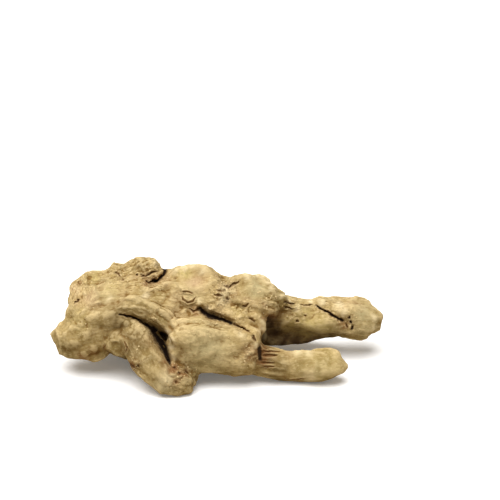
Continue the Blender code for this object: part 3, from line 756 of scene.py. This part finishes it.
def mark_grain(skin):
    """Keeps the grain of the two nearest lobes, the share of the second and the roughness there."""
    places = read_places(skin)
    outsides, grains = (np.array(found) for found in zip(*(grain_of(places, lobe) for lobe in LOBES)))
    grains += (np.arange(len(LOBES)) * GRAIN_STEP)[:, None, None]
    order = np.argsort(outsides, axis=0)
    here = np.arange(len(places))
    near, other = order[0], order[1]
    gap = outsides[other, here] - outsides[near, here]
    share = 0.5 * np.exp(-((gap / LOBE_BLEND) ** 2))
    roughness = np.array([lobe.roughness for lobe in LOBES])
    store(skin, "grain", grains[near, here])
    store(skin, "other_grain", grains[other, here])
    store(skin, "other_share", share)
    rough = roughness[near] * (1 - share) + roughness[other] * share
    seen = seen_drifting(skin)
    turned = facing(read_vertices(skin, "normal"))
    rough = rough * (1 - in_patches(seen, SMOOTH_PLACES) * turned) + in_patches(seen, ROUGH_PLACES) * turned
    store(skin, "roughness", rough)


def nearest_on_line(places, line):
    """How far each place on the face is from a line of places and how far along it that is."""
    line = np.array(line, float)[:, :2]
    best = np.full(len(places), np.inf)
    along = np.zeros(len(places))
    for index, (start, end) in enumerate(zip(line, line[1:])):
        run = end - start
        share = np.clip((places - start) @ run / (run @ run), 0, 1)
        distance = np.linalg.norm(places - start - share[:, None] * run, axis=1)
        nearer = distance < best
        best[nearer] = distance[nearer]
        along[nearer] = (index + share[nearer]) / (len(line) - 1)
    return best, along


def half_width_along(line, along):
    """The half width that a line has at each share of its length."""
    return np.interp(along, np.linspace(0, 1, len(line)), [place[2] for place in line])


def drift(places, size, start=0.0):
    """A soft random vector at each place, up to about 1 long, that changes over a size."""
    return np.array([noise.noise_vector(place).to_tuple() for place in places / size + start])


def drifting(places, kind):
    """The places, each moved by a kind of drift."""
    return places + kind.reach * drift(places, kind.size, kind.start)


def end_fade(along, steepness=5, least=0.15):
    """From a little at the two ends of a line to 1 over its middle."""
    return np.clip(np.minimum(along, 1 - along) * steepness + least, 0, 1)


def raggedness(places):
    """A random move of each place for ragged edges, and how much wider a line is there."""
    coarse = drift(places, COARSE_DRIFT.size)
    fine = drift(places, FINE_DRIFT.size)
    return COARSE_DRIFT.reach * coarse + FINE_DRIFT.reach * fine, FINE_WIDENING * fine[:, 0]


def refine_near(skin, face, cuts):
    """Splits the faces of the skin that lie close to a cut, so that its edges come out crisp."""
    places = read_places(skin)
    seen = on_face(places + raggedness(places)[0], face)
    turned = facing(read_vertices(skin, "normal"), face)
    close = np.zeros(len(seen), bool)
    for cut in cuts:
        distance, along = nearest_on_line(seen, cut.line)
        reach = FINE_WIDTHS * half_width_along(cut.line, along) + FINE_REACH
        close |= (distance < reach) & (turned > LEAST_TURN)
    work = bmesh.new()
    work.from_mesh(skin.data)
    work.verts.ensure_lookup_table()
    edges = [edge for edge in work.edges if close[edge.verts[0].index] and close[edge.verts[1].index]]
    bmesh.ops.subdivide_edges(work, edges=edges, cuts=1, use_grid_fill=True)
    work.to_mesh(skin.data)
    work.free()


def cut_into(skin, face, cuts):
    """Sinks each cut into a face, with raised lips. Returns how dark the shade painted into the cuts makes
    each vertex, and how stained each vertex is.
    """
    places = read_places(skin)
    foreness = places @ face.way
    moves, wider = raggedness(places)
    deep = np.zeros(len(places))
    stain = np.zeros(len(places))
    for cut in cuts:
        distance, along = nearest_on_line(on_face(places + cut.ragged * moves, face), cut.line)
        widening = (1 + cut.ragged * wider).clip(*RAGGED_WIDTHS)
        reach = distance / (half_width_along(cut.line, along) * widening)
        turned = facing(read_vertices(skin, "normal"), face) * end_fade(along)
        behind = foreness[(reach < ON_LINE) & (turned > LEAST_TURN)].max() - foreness
        turned = turned * np.clip((CUT_REACH - behind) / CUT_REACH_FADE, 0, 1)
        lip = np.exp(-((reach - LIP_PLACE) ** 2))
        sink = (cut.depth * np.exp(-(reach ** 2)) - cut.lip * lip) * turned
        write_places(skin, read_places(skin) - face.way * sink[:, None])
        # The dark is shade painted into the crack.
        darkest = min(1, (cut.depth - STAIN_DEPTH) / (FULL_DARK_DEPTH - STAIN_DEPTH))
        dark = np.clip(DARK_START - DARK_FALL * reach, 0, 1) * np.minimum(1, DARK_TURN_IN * turned)
        deep = np.maximum(deep, dark * darkest)
        stain = np.maximum(stain, np.exp(-((reach / STAIN_WIDTH) ** 2)) * turned)
    return deep, stain


def raise_ridges(skin, ridges):
    """Raises each ridge on the front."""
    seen = on_face(drifting(read_places(skin), RIDGE_DRIFT))
    for ridge in ridges:
        normals = read_vertices(skin, "normal")
        distance, along = nearest_on_line(seen, ridge.line)
        width = half_width_along(ridge.line, along)
        height = ridge.height * np.exp(-((distance / width) ** 2)) * facing(normals) * end_fade(along)
        write_places(skin, read_places(skin) + normals * height[:, None])


def raise_knobs(skin, knobs):
    """Raises each knob on the front."""
    seen = on_face(drifting(read_places(skin), KNOB_DRIFT))
    normals = read_vertices(skin, "normal")
    height = np.zeros(len(seen))
    for across, up, radius, rise in knobs:
        distance = np.linalg.norm(seen - (across, up), axis=1)
        height = np.maximum(height, rise * np.clip(1 - (distance / radius) ** 2, 0, 1))
    write_places(skin, read_places(skin) + normals * (height * facing(normals))[:, None])


def press_scars(skin):
    """Presses round rootlet scars, each with a low rim, into the skin away from the front."""
    draw = np.random.default_rng(SCAR_SEED)
    places = read_places(skin)
    normals = read_vertices(skin, "normal")
    hidden = np.flatnonzero((normals @ FRONT.way < -LEAST_TURN) & (places[:, 2] > SCAR_LOWEST))
    mark = np.zeros(len(places))
    for middle in places[draw.choice(hidden, SCAR_COUNT, replace=False)]:
        radius = draw.uniform(*SCAR_RADIUS)
        reach = np.linalg.norm(places - middle, axis=1) / radius
        rim = np.exp(-(((reach - 1) / SCAR_RIM_WIDTH) ** 2))
        pit = np.clip(1 - (reach / SCAR_PIT_WIDTH) ** 2, 0, 1)
        write_places(skin, read_places(skin) + normals * (SCAR_RIM * rim - SCAR_PIT * pit)[:, None])
        mark = np.maximum(mark, pit)
    return mark


def seen_drifting(skin):
    """Where each vertex is seen on the front, drifting, so that patches drawn there get uneven edges."""
    return on_face(drifting(read_places(skin), PATCH_DRIFT))


def in_patches(seen, patches):
    """How much each vertex, as it is seen on the front, lies in patches."""
    amount = np.zeros(len(seen))
    for across, up, radius, strength in patches:
        distance = np.linalg.norm(seen - (across, up), axis=1)
        amount = np.maximum(amount, strength * np.exp(-((distance / radius) ** 2)))
    return amount


def new_tree(name, sizes):
    """An empty geometry tree with a geometry in and out, and a named input for each size."""
    tree = bpy.data.node_groups.new(name, "GeometryNodeTree")
    tree.interface.new_socket("Geometry", in_out="INPUT", socket_type="NodeSocketGeometry")
    tree.interface.new_socket("Geometry", in_out="OUTPUT", socket_type="NodeSocketGeometry")
    for size, value in sizes.items():
        socket = tree.interface.new_socket(size, in_out="INPUT", socket_type="NodeSocketFloat")
        socket.default_value = value
    return Board(tree)


def finish_tree(board, geometry, material):
    """Ends a tree: instances made real, the material set, and the geometry handed out."""
    real = board.node("GeometryNodeRealizeInstances", {}, {"Geometry": geometry})
    dressed = board.node("GeometryNodeSetMaterial", {}, {"Geometry": real, "Material": material})
    board.node("NodeGroupOutput", {}, {"Geometry": dressed}, None)
    return board.tree


def run_tree(thing, tree):
    """Runs a tree on an object with the tree's own sizes and keeps the result as its mesh."""
    modifier = thing.modifiers.new(tree.name, "NODES")
    modifier.node_group = tree
    for socket in tree.interface.items_tree:
        if socket.in_out == "INPUT" and socket.socket_type == "NodeSocketFloat":
            modifier[socket.identifier] = socket.default_value
    apply_modifiers(thing)


def attribute(board, name, kind="FLOAT"):
    """What is kept under a name at each vertex, in a geometry tree."""
    return board.node("GeometryNodeInputNamedAttribute", {"data_type": kind}, {"Name": name}, "Attribute")


def vector(board, operation, first, second):
    """Maths on two vectors."""
    return board.node("ShaderNodeVectorMath", {"operation": operation}, {0: first, 1: second})


def combine(board, x, y, z):
    """A vector of three numbers."""
    return board.node("ShaderNodeCombineXYZ", {}, {"X": x, "Y": y, "Z": z})


def without_sign(board, number):
    """A number without its sign."""
    return board.node("ShaderNodeMath", {"operation": "ABSOLUTE"}, {0: number})


def rolls_along(board, grain, width, length, seed):
    """Rounded rolls along the grain with sharp creases between them, from 0 to about 1."""
    stretched = vector(board, "DIVIDE", grain, combine(board, length, width, width))
    raw = board.node("ShaderNodeTexNoise", {"noise_dimensions": "4D"}, {
        "Vector": stretched, "W": seed, **ROLL_NOISE,
    })
    return without_sign(board, raw * 2 - 1) * ROLL_GAIN


def both_grains(board, wandering, width, length, seed):
    """Rolls along the grains of the two nearest lobes, blended where the lobes meet."""
    grains = (attribute(board, name, "FLOAT_VECTOR") for name in ("grain", "other_grain"))
    near, other = (
        rolls_along(board, vector(board, "ADD", grain, wandering), width, length, seed) for grain in grains
    )
    share = attribute(board, "other_share")
    return near * (1 - share) + other * share


def raise_by(board, geometry, height):
    """Moves a skin outward by a height in millimetres."""
    normal = board.node("GeometryNodeInputNormal")
    offset = board.node("ShaderNodeVectorMath", {"operation": "SCALE"}, {0: normal, "Scale": height * MM})
    return board.node("GeometryNodeSetPosition", {}, {"Geometry": geometry, "Offset": offset})


def relief_tree(material):
    """Raises wrinkles along the grain of a skin."""
    sizes = {"Wander size": WANDER_SIZE, "Wander reach": WANDER_REACH, "Foot fade": FOOT_FADE}
    for kind, relief in WRINKLES.items():
        sizes |= {f"{kind} {measure}": value for measure, value in relief._asdict().items()}
    board = new_tree("skin_relief", sizes)
    given = board.node("NodeGroupInput")
    place = vector(board, "MULTIPLY", board.node("GeometryNodeInputPosition"), (1 / MM,) * 3)
    wander_place = vector(board, "DIVIDE", place, given.out("Wander size"))
    wander = board.node("ShaderNodeTexNoise", {}, {"Vector": wander_place, "Scale": 1.0}, "Color")
    wander = vector(board, "SUBTRACT", wander, (0.5,) * 3)
    wander = vector(board, "MULTIPLY", wander, given.out("Wander reach"))
    off_table = board.node("ShaderNodeSeparateXYZ", {}, {0: place}, "Z") / given.out("Foot fade")
    foot = board.node("ShaderNodeMath", {"operation": "MINIMUM"}, {0: off_table, 1: 1.0})
    strength = attribute(board, "roughness") * foot
    skin = given.out("Geometry")
    for index, kind in enumerate(WRINKLES):
        width, length, height = (given.out(f"{kind} {measure}") for measure in Relief._fields)
        rolls = both_grains(board, wander, width, length, index * ROLL_SEED_STEP)
        skin = raise_by(board, skin, (rolls - ROLL_SINK) * height * strength)
    return finish_tree(board, skin, material)


def softened(board, place, steps):
    """A place brought towards those round it, so many times."""
    return board.node("GeometryNodeBlurAttribute", {"data_type": "FLOAT_VECTOR"}, {
        "Value": place, "Iterations": steps,
    }, "Value")


def soften_tree(material):
    """Smooths the shape of a skin where it is marked soft."""
    board = new_tree("softened_places", {"Steps": SOFTENING})
    given = board.node("NodeGroupInput")
    place = board.node("GeometryNodeInputPosition")
    moved = board.node("ShaderNodeMix", {"data_type": "VECTOR"}, {
        "Factor_Float": attribute(board, "soft"),
        "A_Vector": place,
        "B_Vector": softened(board, place, given.out("Steps")),
    }, "Result_Vector")
    skin = board.node("GeometryNodeSetPosition", {}, {"Geometry": given.out("Geometry"), "Position": moved})
    return finish_tree(board, skin, material)


def keep(board, geometry, name, value):
    """Keeps a number for each vertex under a name, in a geometry tree."""
    return board.node(
        "GeometryNodeStoreNamedAttribute", {"data_type": "FLOAT", "domain": "POINT"},
        {"Geometry": geometry, "Name": name, "Value": value},
    )


def standing_proud(board, steps):
    """How far a vertex stands above the skin round it, softened so many times, in millimetres."""
    place = board.node("GeometryNodeInputPosition")
    gap = vector(board, "SUBTRACT", place, softened(board, place, steps))
    normal = board.node("GeometryNodeInputNormal")
    return board.node("ShaderNodeVectorMath", {"operation": "DOT_PRODUCT"}, {0: gap, 1: normal}, "Value") / MM


def proud_tree(material):
    """Marks where a skin stands proud of what is round it, close by and farther off."""
    board = new_tree("crests_and_hollows", {"Crest steps": CREST_STEPS, "Swell steps": SWELL_STEPS})
    given = board.node("NodeGroupInput")
    skin = keep(board, given.out("Geometry"), "crest", standing_proud(board, given.out("Crest steps")))
    skin = keep(board, skin, "swell", standing_proud(board, given.out("Swell steps")))
    return finish_tree(board, skin, material)


def shader_attribute(board, name):
    """What is kept under a name on the skin, in a material."""
    return board.node("ShaderNodeAttribute", {"attribute_name": name}, {}, "Fac")


def spread(board, value, low, high):
    """A value stretched so that low becomes 0 and high becomes 1, softly and not past them."""
    return board.node(
        "ShaderNodeMapRange", {"interpolation_type": "SMOOTHSTEP"},
        {"Value": value, "From Min": low, "From Max": high, "To Min": 0.0, "To Max": 1.0},
    )


def blend(board, share, first, second):
    """Two colours mixed by a share."""
    return board.node("ShaderNodeMix", {"data_type": "RGBA"}, {
        "Factor_Float": share, "A_Color": first, "B_Color": second,
    }, "Result_Color")


def cloudy(board, place, cloud):
    """A soft random cloud from 0 to 1."""
    return board.node("ShaderNodeTexNoise", {}, {
        "Vector": place, "Scale": 1 / (cloud.size * MM), "Detail": cloud.detail, "Roughness": cloud.roughness,
    })


def streaky(board, grain, streak):
    """Random streaks from 0 to 1 along the grain."""
    stretched = vector(board, "DIVIDE", grain, (streak.length, streak.width, streak.width))
    return board.node("ShaderNodeTexNoise", {}, {
        "Vector": stretched, "Scale": 1.0, "Detail": streak.detail, "Roughness": STREAK_ROUGHNESS,
    })


def spotty(board, grain, spot):
    """Scattered spots, 1 in their middles."""
    stretched = vector(board, "DIVIDE", grain, (spot.length, spot.width, spot.width))
    cells = board.node("ShaderNodeTexVoronoi", {}, {"Vector": stretched, "Scale": 1.0}, "Distance")
    pick = board.node("ShaderNodeSeparateXYZ", {}, {0: cells.out("Color")}, "X")
    picked = spread(board, pick, 1 - spot.share, 1 - spot.share + SPOT_EDGE)
    return spread(board, cells, spot.reach, spot.reach * SPOT_CORE) * picked


def new_material(name):
    """An empty material and the board of its nodes."""
    material = bpy.data.materials.new(name)
    material.use_nodes = True
    material.node_tree.nodes.clear()
    return material, Board(material.node_tree)


def skin_patterns(board):
    """What the coats follow, by name: the marks kept on the skin and the random patterns over it."""
    place = board.node("ShaderNodeTexCoord", {}, {}, "Object")
    grain = board.node("ShaderNodeAttribute", {"attribute_name": "grain"}, {}, "Vector")
    marks = ("roughness", "crest", "swell", "under", "scar", "stain", "shade", "deep", *TINTS)
    patterns = {name: shader_attribute(board, name) for name in marks}
    rough = patterns["roughness"]
    grit = cloudy(board, place, GRIT)
    valleys = without_sign(board, streaky(board, grain, THREADS) * 2 - 1)
    flecks = spotty(board, vector(board, "ADD", grain, FLECK_SHIFT), FLECKS)
    broken = spread(board, grit, *TINT_SPREAD)
    patterns |= {f"broken {name}": patterns[name] * broken for name in TINTS}
    return patterns | {
        "clouds": cloudy(board, place, CLOUDS),
        "hues": streaky(board, grain, HUES),
        "mottles": cloudy(board, place, MOTTLES),
        "streaks": streaky(board, grain, STREAKS),
        "grit": grit,
        "gritty crest": patterns["crest"] + (grit - 0.5) * CREST_GRIT,
        "flecks": flecks,
        "bright flecks": flecks * (FLECK_SHARE + rough * ROUGH_FLECK_SHARE),
        "creases": spread(board, valleys, CREASE_WIDTH, 0.0) * rough,
        "pits": spotty(board, grain, PITS) * rough,
        "broken stain": patterns["stain"] * spread(board, grit, *STAIN_SPREAD),
    }


def dried_skin():
    """The dry, matte skin: tan, paler on crests and brown in hollows as painted light and shade, dark in
    cracks with painted shade, and with patches that are stains, painted highlights and painted shade.
    """
    material, board = new_material("dried_skin")
    patterns = skin_patterns(board)
    colour = blend(board, spread(board, patterns["clouds"], *CLOUD_SPREAD), SKIN_COLOUR, CLOUD_COLOUR)
    for coat in COATS:
        share = patterns[coat.follows]
        if coat.start is not None:
            share = spread(board, share, coat.start, coat.full)
        colour = blend(board, share * coat.most, colour, coat.colour)
    height = sum(patterns[name] * share for name, share in BUMPS.items())
    bump = board.node("ShaderNodeBump", {}, {
        "Strength": BUMP_STRENGTH, "Distance": BUMP_HEIGHT * MM, "Height": height,
    })
    shader = board.node("ShaderNodeBsdfPrincipled", {}, {
        "Base Color": colour, "Roughness": LEAST_ROUGHNESS + patterns["grit"] * GRIT_ROUGHNESS,
        "Specular IOR Level": SHINE, "Normal": bump,
    })
    board.node("ShaderNodeOutputMaterial", {}, {"Surface": shader}, None)
    return material


def loose_flake():
    """The pale, dry cork of a flake that has lifted off the skin."""
    material, board = new_material("loose_flake")
    place = board.node("ShaderNodeTexCoord", {}, {}, "Object")
    clouds = spread(board, cloudy(board, place, FLAKE_CLOUDS), *CLOUD_SPREAD)
    bump = board.node("ShaderNodeBump", {}, {
        "Strength": FLAKE_BUMP_STRENGTH, "Distance": FLAKE_BUMP_HEIGHT * MM,
        "Height": cloudy(board, place, FLAKE_GRIT),
    })
    shader = board.node("ShaderNodeBsdfPrincipled", {}, {
        "Base Color": blend(board, clouds, CLOUD_COLOUR, CREST_COLOUR), "Roughness": FLAKE_ROUGHNESS,
        "Normal": bump,
    })
    board.node("ShaderNodeOutputMaterial", {}, {"Surface": shader}, None)
    return material


def flake_tree(material):
    """Strews small flat flakes over a skin, thickest where it is marked flaky."""
    board = new_tree("strewn_flakes", FLAKE_SIZES)
    given = board.node("NodeGroupInput")
    per_area = attribute(board, "flaky") * given.out("Density") * PER_SQUARE_METRE
    points = board.node("GeometryNodeDistributePointsOnFaces", {}, {
        "Mesh": given.out("Geometry"), "Density": per_area, "Seed": FLAKE_SEED,
    }, "Points")
    flake = board.node("GeometryNodeMeshIcoSphere", {}, {"Radius": 0.5 * MM, "Subdivisions": 1}, "Mesh")
    size = board.node("FunctionNodeRandomValue", {"data_type": "FLOAT"}, {
        "Min_001": given.out("Smallest"), "Max_001": given.out("Largest"), "Seed": FLAKE_SEED,
    }, "Value_001")
    narrow = board.node("FunctionNodeRandomValue", {"data_type": "FLOAT"}, {
        "Min_001": FLAKE_NARROWEST, "Max_001": 1.0, "Seed": FLAKE_SEED + 1,
    }, "Value_001")
    spin = board.node("FunctionNodeRandomValue", {"data_type": "FLOAT_VECTOR"}, {
        "Min": (-FLAKE_TILT, -FLAKE_TILT, -math.pi), "Max": (FLAKE_TILT, FLAKE_TILT, math.pi),
        "Seed": FLAKE_SEED + 2,
    }, "Value")
    turned = board.node("FunctionNodeRotateRotation", {"rotation_space": "LOCAL"}, {
        "Rotation": points.out("Rotation"), "Rotate By": spin,
    })
    placed = board.node("GeometryNodeInstanceOnPoints", {}, {
        "Points": points, "Instance": flake, "Rotation": turned,
        "Scale": combine(board, size, size * narrow, size * given.out("Thickness")),
    })
    return finish_tree(board, placed, material)


def fit_box(skin):
    """Brings the skin to the solid's own box, a fraction of a millimetre either way."""
    places = read_vertices(skin, "co")
    low, high = places.min(0), places.max(0)
    cad_low, cad_high = (np.array(corner) for corner in CAD_BOX)
    places = cad_low + (places - low) * (cad_high - cad_low) / (high - low)
    skin.data.vertices.foreach_set("co", places.ravel())
    skin.data.update()


def mark_skin(skin, crack_shade):
    """Keeps how far the skin turns to the table for its painted under-shade, its stains and patches of
    painted highlight and shade, its painted deep shade and where it flakes.
    """
    normals = read_vertices(skin, "normal")
    turned = facing(normals)
    seen = seen_drifting(skin)
    # Painted shade on skin that faces down.
    store(skin, "under", np.clip(UNDER_SHADE_START - normals[:, 2], 0, 1))
    # Stains, and patches of painted highlight, painted shade and painted light.
    for name, patches in PATCHES.items():
        store(skin, name, in_patches(seen, patches) * turned)
    shaded = np.clip(1 + SHADE_TURN * normals @ FRONT.way, 0, 1) * (read_places(skin)[:, 1] > SHADE_START)
    store(skin, "shade", in_patches(seen, SHADE_PLACES) * shaded)
    store(skin, "flaky", in_patches(seen, ROUGH_PLACES) * turned * (crack_shade < FLAKE_FREE_DARKNESS))


def make_root(material):
    """The root's skin: its form from the solid, then relief, knobs, ridges, scars and cuts, and its marks."""
    skin = close_skin()
    mark_grain(skin)
    store(skin, "soft", in_patches(seen_drifting(skin), SOFT_PLACES))
    run_tree(skin, soften_tree(material))
    run_tree(skin, relief_tree(material))
    refine_near(skin, FRONT, CUTS)
    raise_knobs(skin, KNOBS)
    raise_ridges(skin, RIDGES)
    store(skin, "scar", press_scars(skin))
    front_crack_shade, front_stain = cut_into(skin, FRONT, CUTS)
    back_crack_shade, back_stain = cut_into(skin, BACK, BACK_CUTS)
    # Painted shade in the cracks.
    store(skin, "deep", np.maximum(front_crack_shade, back_crack_shade))
    store(skin, "stain", np.maximum(front_stain, back_stain))
    fit_box(skin)
    mark_skin(skin, front_crack_shade)
    run_tree(skin, proud_tree(material))
    skin.data.shade_smooth()
    return skin


def make_flakes(skin, material):
    """The flakes of loose skin, which lie on the root."""
    flakes = new_object("skin_flakes", skin.data.copy())
    run_tree(flakes, flake_tree(material))
    flakes.data.shade_smooth()
    return flakes


def make_camera():
    """A long lens at the photograph's angle, with the photograph's frame."""
    data = bpy.data.cameras.new("camera")
    data.sensor_width = SENSOR_WIDTH
    data.lens = SENSOR_WIDTH * CAMERA_DISTANCE / FRAME_WIDTH
    data.clip_start, data.clip_end = (distance * MM for distance in CAMERA_CLIP)
    camera = new_object("camera", data)
    camera.rotation_euler = (math.pi / 2 - math.radians(FACE_LEAN), 0, 0)
    across, up = FRAME_MIDDLE
    aim = FRONT.across * across + FRONT.up * up + FRONT.way * AIM_DEPTH
    camera.location = (aim + FRONT.way * CAMERA_DISTANCE - DRAWN_AT) * MM
    bpy.context.scene.camera = camera


def white_paper():
    """Thin pale paper lit from below, which shows paler than the light that it throws back at the root."""
    paper, board = new_material("white_paper")
    seen = board.node("ShaderNodeLightPath", {}, {}, "Is Camera Ray")
    colour = blend(board, seen, BOUNCE_COLOUR, FLOOR_COLOUR)
    paint = board.node("ShaderNodeBsdfDiffuse", {}, {"Color": colour})
    glow = board.node("ShaderNodeEmission", {}, {"Color": SKY_COLOUR, "Strength": seen * FLOOR_GLOW})
    shader = board.node("ShaderNodeAddShader", {}, {0: paint, 1: glow})
    board.node("ShaderNodeOutputMaterial", {}, {"Surface": shader}, None)
    return paper


def make_stage():
    """A plain white floor, a soft sky and one broad light from above."""
    half = FLOOR_SIZE / 2 * MM
    corners = [(-half, -half, 0), (half, -half, 0), (half, half, 0), (-half, half, 0)]
    data = bpy.data.meshes.new("floor")
    data.from_pydata(corners, [], [(0, 1, 2, 3)])
    floor = new_object("floor", data)
    data.materials.append(white_paper())
    key = bpy.data.lights.new("key", "SUN")
    key.energy = KEY_STRENGTH
    key.angle = KEY_SPREAD
    new_object("key", key).rotation_euler = KEY_TURN
    world = bpy.data.worlds.new("sky")
    world.use_nodes = True
    world.node_tree.nodes.clear()
    board = Board(world.node_tree)
    seen = board.node("ShaderNodeLightPath", {}, {}, "Is Camera Ray")
    strength = seen * (1 - SKY_STRENGTH) + SKY_STRENGTH
    sky = board.node("ShaderNodeBackground", {}, {"Color": SKY_COLOUR, "Strength": strength})
    board.node("ShaderNodeOutputWorld", {}, {"Surface": sky}, None)
    bpy.context.scene.world = world
    bpy.context.scene.view_settings.view_transform = "Standard"


# Without a seed of its own the drift would be another one on every run.
noise.seed_set(DRIFT_SEED)
make_camera()
make_stage()
root = make_root(dried_skin())
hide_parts("rhizome")
flakes = make_flakes(root, loose_flake())
for piece in (root, flakes):
    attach(piece, "root")
